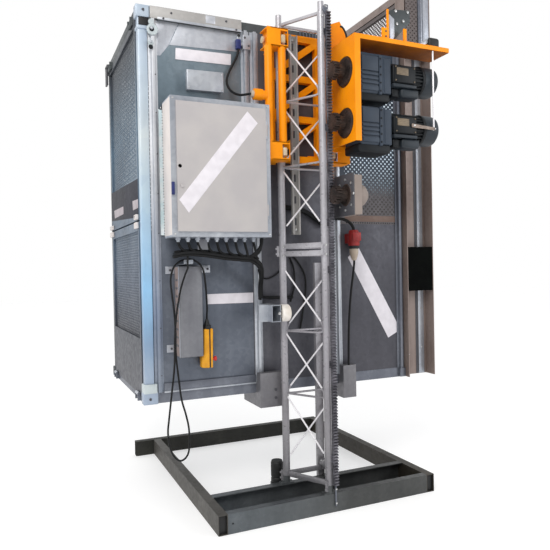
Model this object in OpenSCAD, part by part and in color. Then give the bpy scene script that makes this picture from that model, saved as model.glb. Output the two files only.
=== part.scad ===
// Rack and pinion material hoist: lattice mast on a floor frame, with a climbing cage.
// Millimetres, +Z up, +Y from the mast towards the cage, +X to the right.
// The origin is on the floor under the axis of the mast's front leg.

/* [Base frame] */
// Front leg axis to the left outer face
base_left = 755; // [700:5:850]
// Front leg axis to the right outer face
base_right = 815; // [760:5:900]
// Front face to the back of the rear beam
base_depth = 1790; // [1700:5:1900]
// Front face ahead of the front leg axis
base_front = 26; // [25:1:40]
// Height of the base tubes
tube_h = 120; // [110:5:140]
// Width of the base tubes
tube_w = 60; // [50:5:80]
// Wall of the base tubes
tube_wall = 4; // [3:0.5:6]
// Length of rear beam past the left tube
rear_overhang = 150; // [100:5:200]
// Thickness of the folded mast tray
tray_t = 6; // [5:0.5:8]
// Width of the tray's inward lips
tray_lip = 52; // [50:1:60]

/* [Mast] */
// Side of the mast triangle, leg axis to leg axis
mast_side = 330; // [320:1:345]
// Outer diameter of a leg
leg_d = 48; // [44:0.5:50]
// Wall of a leg
leg_wall = 4; // [3:0.5:6]
// Height of the foot stubs above the tray
foot_h = 51; // [40:1:70]
// Diameter of the horizontal frame bars
frame_d = 18; // [14:1:18]
// Diameter of the crossed brace rods
brace_d = 11; // [8:0.5:13]
// Rack teeth on one mast section
section_teeth = 80; // [78:1:84]

/* [Rack and pinions] */
// Tooth module
rack_module = 6; // [5.9:0.05:6.1]
// Width of the rack
rack_w = 30; // [24:1:34]
// Pinion teeth
pinion_teeth = 17; // [17:1:18]
// Face width of a pinion
pinion_w = 36; // [30:1:40]
// Play between meshing teeth
backlash = 0.8; // [0.6:0.1:1.2]
// Diameter of the pinion shafts
shaft_d = 50; // [40:1:60]

/* [Cage] */
// Front leg axis to the left face
cage_left = 1080; // [1040:5:1120]
// Front leg axis to the right face
cage_right = 1147; // [1120:5:1180]
// Front leg axis to the front sheets
cage_front = 412; // [405:1:425]
// Depth of the cage
cage_depth = 1200; // [1100:5:1300]
// Underside of the floor above the ground, as parked
cage_bottom = 722; // [700:2:760]
// Height of the cage from floor underside to roof top
cage_h = 2506; // [2440:2:2560]
// Width of the corner posts
post_w = 60; // [50:1:70]
// Height of the floor frame
floor_h = 70; // [60:1:90]
// Thickness of the wall sheets
sheet_t = 3; // [2:0.5:5]

/* [Doors] */
// Thickness of a door leaf
leaf_t = 30; // [24:1:36]
// Width of a leaf's frame bars
leaf_bar = 40; // [30:1:60]
// Height of the loading ramp leaf
ramp_h = 1120; // [1050:5:1150]
// Height of the sliding gate
gate_h = 1480; // [1400:5:1500]
// Travel of the sliding gate
gate_travel = 1400; // [1300:5:1400]

/* [Control cabinet] */
// Width of the cabinet
cab_w = 640; // [600:5:660]
// Height of the cabinet
cab_h = 838; // [800:2:860]
// Depth of the cabinet
cab_d = 190; // [170:2:210]
// Wall of the cabinet
cab_wall = 3; // [2:0.5:5]
// Border left bare round the door
cab_border = 34; // [25:1:45]

/* [Carriage and drive] */
// Side of the carriage's square tubes
carriage_tube = 50; // [44:1:52]
// Height of a roller box
roller_box_h = 110; // [100:1:130]
// Plate thickness of the carriage
plate_t = 8; // [6:1:10]
// Running radius of a guide roller
roller_r = 33; // [31:0.5:35]
// Width of a guide roller
roller_w = 26; // [22:1:27]
// Diameter of a motor barrel
motor_d = 196; // [180:2:210]
// Diameter of the output flange of a gear unit
flange_d = 190; // [170:2:196]

/* [Hidden] */
$fn = 48;

// Length of a cutter past the face that it cuts
overrun = 2;
// Play of a shaft or roller on its pin, on the radius
pin_play = 0.3;
// Running gap between a roller and the leg
run_gap = 0.3;
// Gap round moving leaves and slides
slide_gap = 5;
// Running gap of a slide in its guide
guide_gap = 0.3;
// Depth that one welded piece sinks into the next
weld = 1;
// Gap between two bolted faces
seam = 0.05;

// Mast layout in plan
mast_depth = mast_side * sqrt(3) / 2;
leg_f = [0, 0];
leg_l = [-mast_side / 2, mast_depth];
leg_r = [mast_side / 2, mast_depth];
legs = [leg_f, leg_l, leg_r];
faces = [[leg_l, leg_f], [leg_r, leg_l], [leg_f, leg_r]];
pitch = PI * rack_module;
section_h = section_teeth * pitch;
foot_z = tube_h + foot_h;
joint_z = foot_z + section_h;
top_z = joint_z + section_h;
frame_inset = 22;
end_bar_h = 40;
end_bar_t = 16;
mid_frame_shares = [0.36, 0.64];
brace_shares = [[0.108, 0.336], [0.388, 0.613], [0.673, 0.892]];
rod_share = 0.55;
spigot_len = 66;
joint_bolt_d = 12;
joint_plate_h = 70;
joint_plate_w = 16;
joint_plate_t = 14;
bolt_head_d = 20;
bolt_head_h = 8;

// Rack and pinion layout
rack_x = 16;
rack_pitch_y = -47;
rack_body_t = 17;
pressure = 20;
addendum_share = 1;
dedendum_share = 1.25;
pinion_r = pinion_teeth * rack_module / 2;
pinion_y = rack_pitch_y - pinion_r;
pinion_x = rack_x + (rack_w - pinion_w) / 2;
row_upper = 139;
row_lower = 122;
row_safety = 98;
pinion_hub_d = 84;
rack_bolt_shares = [0.1, 0.5, 0.9];
rack_lug_h = 44;

// Cage faces
cage_x0 = -cage_left;
cage_back = cage_front + cage_depth;
cage_top = cage_bottom + cage_h;
floor_top = cage_bottom + floor_h;
roof_h = 62;
roof_under = cage_top - roof_h;
post_front = cage_front - 12;
end_block = 84;
end_block_h = 74;
hat_depth = 26;
hat_t = 4;
hat_flange = 14;

// Gate layout
gate_x = cage_right - 52;
column_w = 242;
column_depth = 108;
column_wall = 5;
column_front = cage_front - 60;
column_rise = 500;
column_top = cage_top + column_rise;
column_x = cage_right - column_w;
rear_column_w = 87;
rear_column_depth = 55;
gate_rest = floor_top + slide_gap + gate_travel;
gate_y0 = column_front + column_depth + slide_gap;
gate_y1 = cage_back - rear_column_depth - slide_gap;
guide_t = 4;
guide_reach = 24;

// Left door layout
leaf_y0 = post_front + post_w + slide_gap;
leaf_y1 = cage_back - post_w - slide_gap;
leaf_x = cage_x0 - slide_gap;
ramp_z = cage_bottom + 38;
flap_z = ramp_z + ramp_h + 2 * slide_gap;
flap_top = roof_under - slide_gap;
hinge_d = 22;
hinge_pin_d = 12;
hinge_len = 70;
band_h = 330;
label_band_t = 4;

// Carriage layout
box_top_z = 3062;
box_low_z = 2328;
front_tube_x = -leg_l[0] + 25;
outer_tube_x = -leg_l[0] + 121;
front_tube_y = leg_l[1] - 96;
box_y0 = front_tube_y - carriage_tube / 2;
box_y1 = leg_l[1];
box_x0 = leg_l[0] - 136;
box_x1 = leg_l[0] + 13;
box_tail_x = leg_l[0] - 85;
leg_notch_r = leg_d / 2 + 10;
bar_notch = leg_notch_r + 12;
window_x = leg_l[0] - 57;
window_w = 64;
roller_offset = leg_d / 2 + run_gap + roller_r;
roller_rim = 3;
roller_pin_d = 20;
fork_w = 34;
fork_t = 6;
fork_gap = 1.5;
front_angle = 235;
back_angle = 150;
truss_tube = 44;
truss_bars = 4;
diagonal_share = 0.7;
truss_left = leg_l[0] - 49;
truss_right = leg_r[0] + 24;
truss_back = cage_front - 15;
truss_y = truss_back - truss_tube;
truss_z0 = box_low_z - 34;
truss_z1 = box_top_z + 110;
lug_w = 90;
lug_h = 60;
stub_d = 72;
stub_len = 84;
stub_z = (box_low_z + box_top_z) / 2 - 13;

// Drive layout
plate_x = 110;
plate_y0 = pinion_y - 113;
plate_y1 = 140;
plate_z0 = 2341;
plate_z1 = 2967;
plate_flange = 42;
plate_hole_d = flange_d + 2 * pin_play;
ring_d = flange_d + 34;
ring_t = 14;
shelf_t = 28;
shelf_len = 728;
shelf_depth = 190;
gear_drop = 25;
gear_h = 246;
gear_len = 226;
gear_depth = 200;
gear_chamfer = 34;
flange_len = 40;
motor_len = 300;
cowl_len = 120;
cowl_d = motor_d + 14;
fin_count = 36;
fin_depth = 14;
fin_share = 0.4;
terminal_w = 150;
terminal_h = 120;
terminal_t = 50;
shaft_seat = 60;

// Safety device layout
safety_plate_w = 190;
safety_plate_h = 262;
safety_box_len = 74;
safety_box_d = 150;
dome_r = 74;
hanger_w = 60;

// Cabinet layout
cab_gap = 4;
cab_x0 = -outer_tube_x - carriage_tube / 2 - cab_gap - cab_w;
cab_y0 = 120;
cab_z0 = 1764;
cab_door_t = 14;
cab_plate_gap = 22;
cab_hinge_d = 14;

// Pieces on the front of the cage
res_w = 150;
res_h = 575;
res_d = 108;
res_x0 = -873;
res_z0 = 1014;
jbox_w = 240;
jbox_h = 126;
jbox_d = 62;
jbox_x0 = -780;
jbox_z0 = 2722;
jbox_lip = 8;
pend_w = 68;
pend_h = 254;
pend_d = 56;
pend_x0 = -715;
pend_z0 = 930;
pend_y0 = 330;
estop_d = 32;
estop_len = 26;
estop_z = pend_z0 + 56;
plug_x = 430;
plug_y = 345;
plug_z = 1612;
cord_d = 12;
plug_cord_d = 16;

// Plain helpers

// Square tube, hollow along one axis
module rhs(size, wall, along) {
    inner = [for (i = [0:2]) i == along ? size[i] + 2 * overrun : size[i] - 2 * wall];
    difference() {
        cube(size);
        translate([for (i = [0:2]) i == along ? -overrun : wall]) cube(inner);
    }
}

// Round bar between two points
module bar(a, b, d) {
    v = b - a;
    translate(a) rotate([0, acos(v[2] / norm(v)), atan2(v[1], v[0])]) cylinder(h = norm(v), d = d);
}

// Outline in the Y Z plane, extruded along X from x0
module yz_plate(x0, w) {
    translate([x0, 0, 0]) rotate([90, 0, 90]) linear_extrude(w) children();
}

// Outline in the X Z plane, extruded along Y from y0
module xz_plate(y0, w) {
    translate([0, y0 + w, 0]) rotate([90, 0, 0]) linear_extrude(w) children();
}

// Cylinder along X
module rod_x(p, len, d) {
    translate(p) rotate([0, 90, 0]) cylinder(h = len, d = d);
}

// Cylinder along Y
module rod_y(p, len, d) {
    translate(p) rotate([-90, 0, 0]) cylinder(h = len, d = d);
}

// Points of a smooth curve through a list, with steps points per stretch
function spline_point(a, b, c, d, t) = 0.5 * (2 * b + (c - a) * t + (2 * a - 5 * b + 4 * c - d) * t * t
    + (3 * b - a - 3 * c + d) * t * t * t);
function spline(p, steps) = [for (i = [0:len(p) - 2]) for (s = [0:steps - 1])
    spline_point(p[max(i - 1, 0)], p[i], p[i + 1], p[min(i + 2, len(p) - 1)], s / steps), p[len(p) - 1]];
function unit(v) = v / norm(v);
function tangent(p, i) = unit(p[min(i + 1, len(p) - 1)] - p[max(i - 1, 0)]);

// Round tube swept along a list of points
module sweep(p, d, sides) {
    n = len(p);
    rings = [for (i = [0:n - 1]) let (t = tangent(p, i), u = unit(cross(t, [0, 1, 0])), v = cross(t, u))
        for (k = [0:sides - 1]) p[i] + d / 2 * (cos(360 * k / sides) * u + sin(360 * k / sides) * v)];
    sidefaces = [for (i = [0:n - 2]) for (k = [0:sides - 1]) let (a = i * sides + k,
        b = i * sides + (k + 1) % sides) each [[a, b, b + sides], [a, b + sides, a + sides]]];
    caps = [for (k = [1:sides - 2]) each [[0, k + 1, k], [(n - 1) * sides, (n - 1) * sides + k,
        (n - 1) * sides + k + 1]]];
    polyhedron(points = rings, faces = concat(sidefaces, caps));
}

// Base frame

module base_side_tubes() {
    length = base_depth - tube_w;
    color("slategray") {
        translate([-base_left, -base_front, 0]) rhs([tube_w, length, tube_h], tube_wall, 1);
        translate([base_right - tube_w, -base_front, 0]) rhs([tube_w, length, tube_h], tube_wall, 1);
    }
}

module rear_base_beam() {
    length = base_left + base_right + rear_overhang;
    color("darkslategray") translate([-base_left - rear_overhang, base_depth - base_front - tube_w, 0])
        rhs([length, tube_w, tube_h], tube_wall, 0);
}

tray_x0 = -base_left + tube_w;
tray_len = base_left + base_right - 2 * tube_w;
tray_depth = base_front + mast_depth + tray_lip / 2;
foot_plate = tray_lip - tray_t;
foot_plate_t = 8;
tray_hole_d = 12;

module mast_tray() {
    color("slategray") difference() {
        union() {
            yz_plate(tray_x0, tray_len) difference() {
                translate([-base_front, 0]) square([tray_depth, tube_h]);
                translate([-base_front + tray_t, tray_t])
                    square([tray_depth - 2 * tray_t, tube_h - 2 * tray_t]);
                translate([-base_front + tray_lip, tray_t])
                    square([tray_depth - 2 * tray_lip, tube_h]);
            }
            for (leg = legs) translate([leg[0], leg[1], tube_h]) {
                translate([-foot_plate, -foot_plate / 2, 0])
                    cube([2 * foot_plate, foot_plate, foot_plate_t]);
                cylinder(h = foot_h, d = leg_d);
            }
        }
        for (leg = legs) translate([leg[0], leg[1], tube_h + foot_plate_t])
            cylinder(h = foot_h, d = leg_d - 2 * leg_wall);
        rod_y([tray_x0 + tube_w / 2, -base_front - overrun, tube_h / 2], tray_t + 2 * overrun, tray_hole_d);
    }
}

// Mast

module mast_section(z0) {
    color("silver") difference() {
        union() {
            for (leg = legs) translate([leg[0], leg[1], z0]) cylinder(h = section_h, d = leg_d);
            for (face = faces) {
                a = face[0];
                b = face[1];
                for (z = [frame_inset, section_h - frame_inset]) translate([a[0], a[1], z0 + z - end_bar_h / 2])
                    rotate(atan2(b[1] - a[1], b[0] - a[0])) translate([0, -end_bar_t / 2, 0])
                        cube([mast_side, end_bar_t, end_bar_h]);
                for (share = mid_frame_shares) bar([a[0], a[1], z0 + share * section_h],
                    [b[0], b[1], z0 + share * section_h], frame_d);
            }
            // Crossed rods on the two faces beside the front leg
            for (face = [faces[0], faces[2]], span = brace_shares) {
                a = face[0];
                b = face[1];
                normal = unit([b[1] - a[1], a[0] - b[0], 0]) * brace_d * rod_share;
                low = z0 + span[0] * section_h;
                high = z0 + span[1] * section_h;
                bar([a[0], a[1], low] + normal, [b[0], b[1], high] + normal, brace_d);
                bar([a[0], a[1], high] - normal, [b[0], b[1], low] - normal, brace_d);
            }
        }
        for (leg = legs) translate([leg[0], leg[1], z0 - overrun])
            cylinder(h = section_h + 2 * overrun, d = leg_d - 2 * leg_wall);
    }
}

module mast_section_lower() mast_section(foot_z);
module mast_section_upper() mast_section(joint_z);

// Rack teeth are cut so that a gap is centred on both ends of a section
function rack_outline(z0) = let (slope = tan(pressure) * rack_module, half = pitch / 4 - backlash / 4,
    tip = half - addendum_share * slope, root = half + dedendum_share * slope,
    y_tip = rack_pitch_y - addendum_share * rack_module, y_root = rack_pitch_y + dedendum_share * rack_module)
    concat([[y_root + rack_body_t, z0], [y_root, z0]],
        [for (i = [0:section_teeth - 1]) let (c = z0 + (i + 0.5) * pitch)
            each [[y_root, c - root], [y_tip, c - tip], [y_tip, c + tip], [y_root, c + root]]],
        [[y_root, z0 + section_h], [y_root + rack_body_t, z0 + section_h]]);

rack_back = rack_pitch_y + dedendum_share * rack_module + rack_body_t;

lug_x = leg_d / 10;

module rack_section(z0) {
    color("dimgray") {
        yz_plate(rack_x, rack_w) polygon(rack_outline(z0));
        for (share = rack_bolt_shares) difference() {
            translate([lug_x, rack_back - weld, z0 + share * section_h])
                cube([rack_x + rack_w - lug_x, leg_d / 4 - rack_back + weld, rack_lug_h]);
            translate([0, 0, z0 + share * section_h - overrun]) cylinder(h = rack_lug_h + 2 * overrun, d = leg_d);
        }
    }
}

module rack_lower() rack_section(foot_z);
module rack_upper() rack_section(joint_z);

// Spigots in the leg ends, with clamp plates and bolts over the joints
module joint_hardware() {
    spigot_d = leg_d - 2 * leg_wall;
    spigot_in = foot_h - foot_plate_t;
    color("gainsboro") {
        for (leg = legs) {
            for (z = [foot_z, joint_z]) translate([leg[0], leg[1], z - spigot_in])
                cylinder(h = 2 * spigot_in, d = spigot_d);
            translate([leg[0], leg[1], top_z - spigot_in]) cylinder(h = spigot_in, d = spigot_d);
            translate([leg[0], leg[1], top_z - weld]) cylinder(h = spigot_len + weld, d = spigot_d - 2 * pin_play);
        }
        for (i = [0:2]) for (z = [foot_z, joint_z]) {
            leg = legs[i];
            out = unit(leg - (leg_f + leg_l + leg_r) / 3);
            translate([leg[0], leg[1], z]) rotate(atan2(out[1], out[0]) + joint_turns[i]) {
                difference() {
                    translate([0, -joint_plate_w / 2, -joint_plate_h / 2])
                        cube([leg_d / 2 + joint_plate_t, joint_plate_w, joint_plate_h]);
                    translate([0, 0, -joint_plate_h / 2 - overrun])
                        cylinder(h = joint_plate_h + 2 * overrun, d = leg_d);
                }
                for (side = [-1, 1]) rod_x([leg_d / 2 + joint_plate_t - weld, 0, side * joint_plate_h / 4],
                    bolt_head_h + weld, bolt_head_d * bolt_share);
            }
        }
    }
}
bolt_share = 0.7;
joint_turns = [-55, 0, 0];

buffer_x = -200;
buffer_y = leg_l[1] + 82;
buffer_d = 84;
buffer_h = 150;
stand_top = 104;
stand_t = 10;
stand_w = 110;
stand_back = buffer_y + stand_w / 2;

module buffer_stand() {
    y0 = tray_depth - base_front;
    color("gray") {
        translate([buffer_x - stand_w / 2, y0, 0]) cube([stand_w, stand_back - y0, stand_t]);
        translate([buffer_x, buffer_y, stand_t]) difference() {
            cylinder(h = stand_top - stand_t, d = buffer_d + stand_t);
            translate([0, 0, -overrun]) cylinder(h = stand_top - 2 * stand_t + overrun, d = buffer_d - stand_t);
        }
        translate([buffer_x - stand_w / 2, y0, stand_t]) cube([stand_w, stand_t / 2, tube_h / 2]);
    }
}

module rubber_buffer() {
    color("black") translate([buffer_x, buffer_y, stand_top]) rotate_extrude()
        polygon([[0, 0], [buffer_d / 2, 0], [buffer_d / 2, buffer_h * 0.2], [buffer_d * 0.46, buffer_h * 0.26],
            [buffer_d / 2, buffer_h * 0.32], [buffer_d / 2, buffer_h * 0.9], [buffer_d * 0.44, buffer_h],
            [0, buffer_h]]);
}

rail_x = 90;
rail_w = 50;
rail_d = 28;
rail_y = tray_depth - base_front;
rail_z0 = tube_h / 2;
rail_z1 = joint_z - 80;

// Upright rail behind the mast for the limit stops, on the tray's back wall and a frame bar
module limit_rail() {
    tie_z = foot_z + mid_frame_shares[1] * section_h;
    color("silver") {
        translate([rail_x, rail_y, rail_z0]) linear_extrude(rail_z1 - rail_z0) difference() {
            square([rail_w, rail_d]);
            translate([hat_t, hat_t]) square([rail_w - 2 * hat_t, rail_d]);
        }
        difference() {
            translate([rail_x + rail_w / 4, mast_depth, tie_z - rail_d / 2])
                cube([rail_w / 2, rail_y - mast_depth + weld, rail_d]);
            rod_x([rail_x, mast_depth, tie_z], rail_w, frame_d);
        }
    }
}

// Cage frame

lug_t = 10;
lug_r = 9;
barrel_x = leaf_x - hinge_d / 2 + weld;
barrel_ys = [leaf_y0 + hinge_len, leaf_y1 - 2 * hinge_len];
lug_drop = 30;

// Hinge lugs and pins at one edge of the door opening; up is 1 for a seat above the pin
module hinge_lugs(z, seat_z, up) {
    for (y = barrel_ys) {
        for (side = [y - lug_t - guide_gap, y + hinge_len + guide_gap]) {
            rod_y([barrel_x, side, z], lug_t, 2 * lug_r);
            translate([barrel_x - lug_r, side, min(z, seat_z)]) cube([2 * lug_r, lug_t, abs(seat_z - z)]);
            translate([barrel_x - lug_r, side, up > 0 ? seat_z : seat_z - lug_drop])
                cube([cage_x0 - barrel_x + lug_r + weld, lug_t, lug_drop]);
        }
        rod_y([barrel_x, y - lug_t - guide_gap, z], hinge_len + 2 * lug_t + 2 * guide_gap, hinge_pin_d);
    }
}

module cage_floor() {
    x1 = gate_x - slide_gap;
    rim = 40;
    bays = 3;
    bay_w = (x1 - cage_x0 - rim) / bays;
    color("lightslategray") {
        difference() {
            translate([cage_x0, cage_front, cage_bottom]) cube([x1 - cage_x0, cage_depth, floor_h]);
            for (i = [0:bays - 1]) translate([cage_x0 + rim + i * bay_w, cage_front + rim, cage_bottom - overrun])
                cube([bay_w - rim, cage_depth - 2 * rim, floor_h + overrun - sheet_t * 2]);
            corner_cuts(cage_bottom, floor_h);
            translate([cage_x0 - overrun, leaf_y0 - slide_gap, cage_bottom + floor_h / 2])
                cube([leaf_t + slide_gap + overrun, leaf_y1 - leaf_y0 + 2 * slide_gap, floor_h]);
        }
        hinge_lugs(ramp_z + hinge_d / 2, cage_bottom + floor_h / 2, 0);
    }
}

// Space for the posts and columns at the four corners of the floor and the roof
module corner_cuts(z, h) {
    for (y = [post_front - overrun, cage_back - post_w]) translate([cage_x0 - overrun, y, z - overrun])
        cube([post_w + overrun, post_w + overrun, h + 2 * overrun]);
    translate([column_x, column_front, z - overrun]) cube([column_w, column_depth, h + 2 * overrun]);
    translate([cage_right - rear_column_w, cage_back - rear_column_depth, z - overrun])
        cube([rear_column_w, rear_column_depth + overrun, h + 2 * overrun]);
}

roof_beam_h = 78;

module cage_roof() {
    x1 = gate_x - slide_gap;
    y_web = cage_front - hat_depth;
    z_low = cage_top - roof_beam_h;
    color("lightslategray") {
        difference() {
            translate([cage_x0, cage_front, roof_under]) cube([x1 - cage_x0, cage_depth, roof_h]);
            translate([cage_x0 + post_w, cage_front + hat_t, roof_under - overrun])
                cube([x1 - cage_x0 - post_w - hat_t, cage_depth - 2 * hat_t, roof_h + overrun - sheet_t]);
            corner_cuts(roof_under, roof_h);
        }
        // Channel along the front edge of the roof
        yz_plate(hat_x[0] + hat_w, hat_x[1] - hat_x[0] - hat_w) polygon([[cage_front, z_low], [y_web, z_low],
            [y_web, cage_top], [cage_front + weld, cage_top], [cage_front + weld, cage_top - hat_t],
            [y_web + hat_t, cage_top - hat_t], [y_web + hat_t, z_low + hat_t], [cage_front, z_low + hat_t]]);
        hinge_lugs(flap_top - hinge_d / 2, roof_under, 1);
    }
}

block_reach = (end_block - post_w) / 2;

// Corner posts, with a thicker block on the outer sides of each end
module left_posts() {
    color("lightsteelblue") for (rear = [false, true]) {
        y = rear ? cage_back - post_w : post_front;
        translate([cage_x0, y, cage_bottom]) rhs([post_w, post_w, cage_h], hat_t, 2);
        for (z = [cage_bottom, cage_top - end_block_h]) difference() {
            translate([cage_x0 - block_reach, rear ? y : y - block_reach, z])
                cube([post_w + block_reach, post_w + block_reach, end_block_h]);
            translate([cage_x0 + hat_t, y + hat_t, z - overrun])
                cube([post_w - 2 * hat_t, post_w - 2 * hat_t, end_block_h + 2 * overrun]);
        }
    }
}

// Deep channel that the counterweight runs in, with the gate's front guide behind it
module gate_column_front() {
    height = column_top - cage_bottom;
    color("rosybrown") {
        difference() {
            translate([column_x, column_front, cage_bottom]) cube([column_w, column_depth, height]);
            translate([column_x + column_wall, column_front - overrun, cage_bottom - overrun])
                cube([column_w - 2 * column_wall, column_depth - column_wall + overrun, height + 2 * overrun]);
            rod_y([column_x + column_w * 0.32, column_front + column_depth - column_wall - overrun,
                cage_bottom + floor_h * 2.2], column_wall + 2 * overrun, bolt_head_d);
        }
        for (x = [gate_x - guide_gap - guide_t, gate_x + leaf_t + guide_gap])
            translate([x, column_front + column_depth - weld, floor_top])
                cube([guide_t, guide_reach + weld, column_top - floor_top]);
    }
}

head_h = 60;

// Rear guide of the gate, with the head beam that joins both columns
module gate_column_rear() {
    height = column_top - cage_bottom;
    color("rosybrown") {
        translate([cage_right - rear_column_w, cage_back - rear_column_depth, cage_bottom])
            rhs([rear_column_w, rear_column_depth, height], column_wall, 2);
        for (x = [gate_x - guide_gap - guide_t, gate_x + leaf_t + guide_gap])
            translate([x, cage_back - rear_column_depth - guide_reach, floor_top])
                cube([guide_t, guide_reach + weld, column_top - floor_top]);
        translate([gate_x - guide_gap - guide_t, column_front, column_top])
            rhs([leaf_t + 2 * guide_gap + 2 * guide_t, cage_back - column_front, head_h], hat_t, 1);
    }
}

// Upright hat profiles: left edge of each, and how far each reaches
hat_w = 58;
hat_x = [cage_x0 + post_w + 4, -392, -326, 300, 838];
hat_z1 = roof_under;

module hat(w, d) {
    difference() {
        polygon([[0, 0], [w, 0], [w, -hat_t], [w - hat_flange + hat_t, -hat_t], [w - hat_flange, -d],
            [hat_flange, -d], [hat_flange - hat_t, -hat_t], [0, -hat_t]]);
        polygon([[hat_flange, overrun], [hat_flange + hat_t, hat_t - d], [w - hat_flange - hat_t, hat_t - d],
            [w - hat_flange, overrun]]);
    }
}

centre_upright_x = -62;
centre_upright_z0 = 1795;
centre_upright_z1 = 3160;

module front_uprights() {
    color("silver") {
        for (x = hat_x) translate([x, cage_front, floor_top]) linear_extrude(hat_z1 - floor_top) hat(hat_w, hat_depth);
        translate([centre_upright_x, truss_y, centre_upright_z0])
            linear_extrude(centre_upright_z1 - centre_upright_z0) difference() {
                translate([0, -hat_depth]) square([hat_w, hat_depth]);
                translate([hat_t, -hat_depth - overrun]) square([hat_w - 2 * hat_t, hat_depth + overrun - hat_t]);
            }
    }
}

sheet_gap = 1;

// Sheet of a wall between two places along X
module wall_sheet(x0, x1, z0, z1, y) {
    translate([x0, y, z0]) cube([x1 - x0, sheet_t, z1 - z0]);
}

front_split_z = 1877;

module front_sheets() {
    color("lightslategray") {
        wall_sheet(hat_x[0], hat_x[1] + hat_w, floor_top, roof_under, cage_front);
        wall_sheet(hat_x[2], hat_x[3] + hat_w, floor_top, roof_under, cage_front);
    }
}

module front_right_sheets() {
    color("slategray") {
        wall_sheet(hat_x[3] + hat_w + sheet_gap, column_x - sheet_gap, floor_top, front_split_z, cage_front);
        wall_sheet(hat_x[3] + hat_w + sheet_gap, column_x - sheet_gap, front_split_z, roof_under, cage_front);
    }
}

module rear_wall() {
    x0 = cage_x0 + post_w;
    x1 = cage_right - rear_column_w;
    color("slategray") {
        wall_sheet(x0, x1, floor_top, roof_under, cage_back - sheet_t);
        for (share = [0.2, 0.5, 0.8]) translate([x0 + share * (x1 - x0), cage_back - sheet_t, floor_top])
            linear_extrude(roof_under - floor_top) hat(hat_w, hat_depth);
    }
}

// Carriage

// Plates round a leg that carry the guide rollers; angles place the rollers round the leg
module roller_box(z, angles) {
    z0 = z - roller_box_h / 2;
    difference() {
        union() {
            translate([box_x0, box_y0, z0]) cube([box_x1 - box_x0, plate_t, roller_box_h]);
            for (k = [z0, z0 + roller_box_h - plate_t]) {
                translate([box_x0, box_y0, k]) cube([box_x1 - box_x0, box_y1 - box_y0, plate_t]);
                translate([box_tail_x, box_y1 - weld, k]) cube([box_x1 - box_tail_x, truss_y - box_y1 + weld, plate_t]);
            }
        }
        translate([leg_l[0], leg_l[1], z0 - overrun]) {
            cylinder(h = roller_box_h + 2 * overrun, r = leg_notch_r);
            translate([0, -bar_notch, 0]) cube([leg_notch_r, 2 * bar_notch, roller_box_h + 2 * overrun]);
        }
        translate([window_x, box_y0 - overrun, z0 + 2 * plate_t])
            cube([window_w, plate_t + 2 * overrun, roller_box_h - 4 * plate_t]);
    }
    for (a = angles) translate([leg_l[0], leg_l[1], z]) rotate(a) translate([roller_offset, 0, 0]) {
        for (side = [-1, 1]) translate([-fork_w / 3, side * (roller_w / 2 + fork_gap + fork_t / 2) - fork_t / 2,
            -roller_box_h / 2 + plate_t - weld]) cube([fork_w, fork_t, roller_box_h - 2 * plate_t + 2 * weld]);
        rod_y([0, -roller_w / 2 - fork_gap - fork_t, 0], roller_w + 2 * fork_gap + 2 * fork_t, roller_pin_d);
    }
}

module carriage_column() {
    z0 = box_low_z + roller_box_h / 2 - weld;
    len = box_top_z - box_low_z - roller_box_h + 2 * weld;
    roller_box(box_top_z, [front_angle]);
    roller_box(box_low_z, [front_angle, back_angle]);
    for (x = [front_tube_x, outer_tube_x]) translate([-x - carriage_tube / 2, box_y0, z0])
        rhs([carriage_tube, carriage_tube, len], hat_t, 2);
}

// The left column also has a round stub beside its outer tube
module carriage_left_column() {
    color("orange") {
        carriage_column();
        rod_x([-outer_tube_x - carriage_tube / 2 - stub_len, front_tube_y, stub_z], stub_len + weld, stub_d);
    }
}
module carriage_right_column() color("orange") mirror([1, 0, 0]) carriage_column();

// Frame behind the mast that joins both columns and carries the cage
module carriage_truss() {
    span = truss_right - truss_left - 2 * truss_tube;
    x0 = truss_left + truss_tube;
    step = (truss_z1 - truss_z0 - truss_tube) / (truss_bars - 1);
    rise = step - truss_tube;
    color("orange") {
        for (x = [truss_left, truss_right - truss_tube]) translate([x, truss_y, truss_z0])
            cube([truss_tube, truss_tube, truss_z1 - truss_z0]);
        for (i = [0:truss_bars - 1]) translate([x0 - weld, truss_y, truss_z0 + i * step])
            cube([span + 2 * weld, truss_tube, truss_tube]);
        // Diagonals fall from the right end of a bar to the left end of the one below
        for (i = [0:truss_bars - 2]) xz_plate(truss_y, truss_tube) {
            low = truss_z0 + i * step + truss_tube - weld;
            high = low + rise + 2 * weld;
            wide = truss_tube * diagonal_share;
            polygon([[x0 - weld, low], [x0 + wide, low], [x0 + span + weld, high - wide],
                [x0 + span + weld, high], [x0 + span - wide, high], [x0 - weld, low + wide]]);
        }
        for (x = [truss_left, truss_right - lug_w], z = [truss_z0, truss_z1 - lug_h])
            translate([x, truss_back - weld, z]) cube([lug_w, cage_front - truss_back + weld, lug_h]);
    }
}

// Drive

function row_z(row) = foot_z + row * pitch;
upper_z = row_z(row_upper);
lower_z = row_z(row_lower);
safety_z = row_z(row_safety);

module drive_plate() {
    tube_front = box_y0 - seam;
    color("orange") {
        yz_plate(plate_x, plate_t) difference() {
            polygon([[plate_y0, plate_z0], [plate_y1, plate_z0], [plate_y1, plate_z1], [plate_y0, plate_z1]]);
            for (z = [upper_z, lower_z]) translate([pinion_y, z]) circle(d = plate_hole_d);
        }
        translate([plate_x, plate_y0 - plate_t, plate_z0]) cube([plate_flange, plate_t, plate_z1 - plate_z0]);
        translate([plate_x, plate_y1, plate_z0])
            cube([front_tube_x - plate_x + carriage_tube / 2, tube_front - plate_y1, plate_z1 - plate_z0]);
        // Tail that carries the safety device
        yz_plate(plate_x, plate_t) translate([plate_y1 - hanger_w, safety_z - safety_plate_h / 2])
            square([hanger_w, plate_z0 - safety_z + safety_plate_h / 2]);
    }
}

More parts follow.
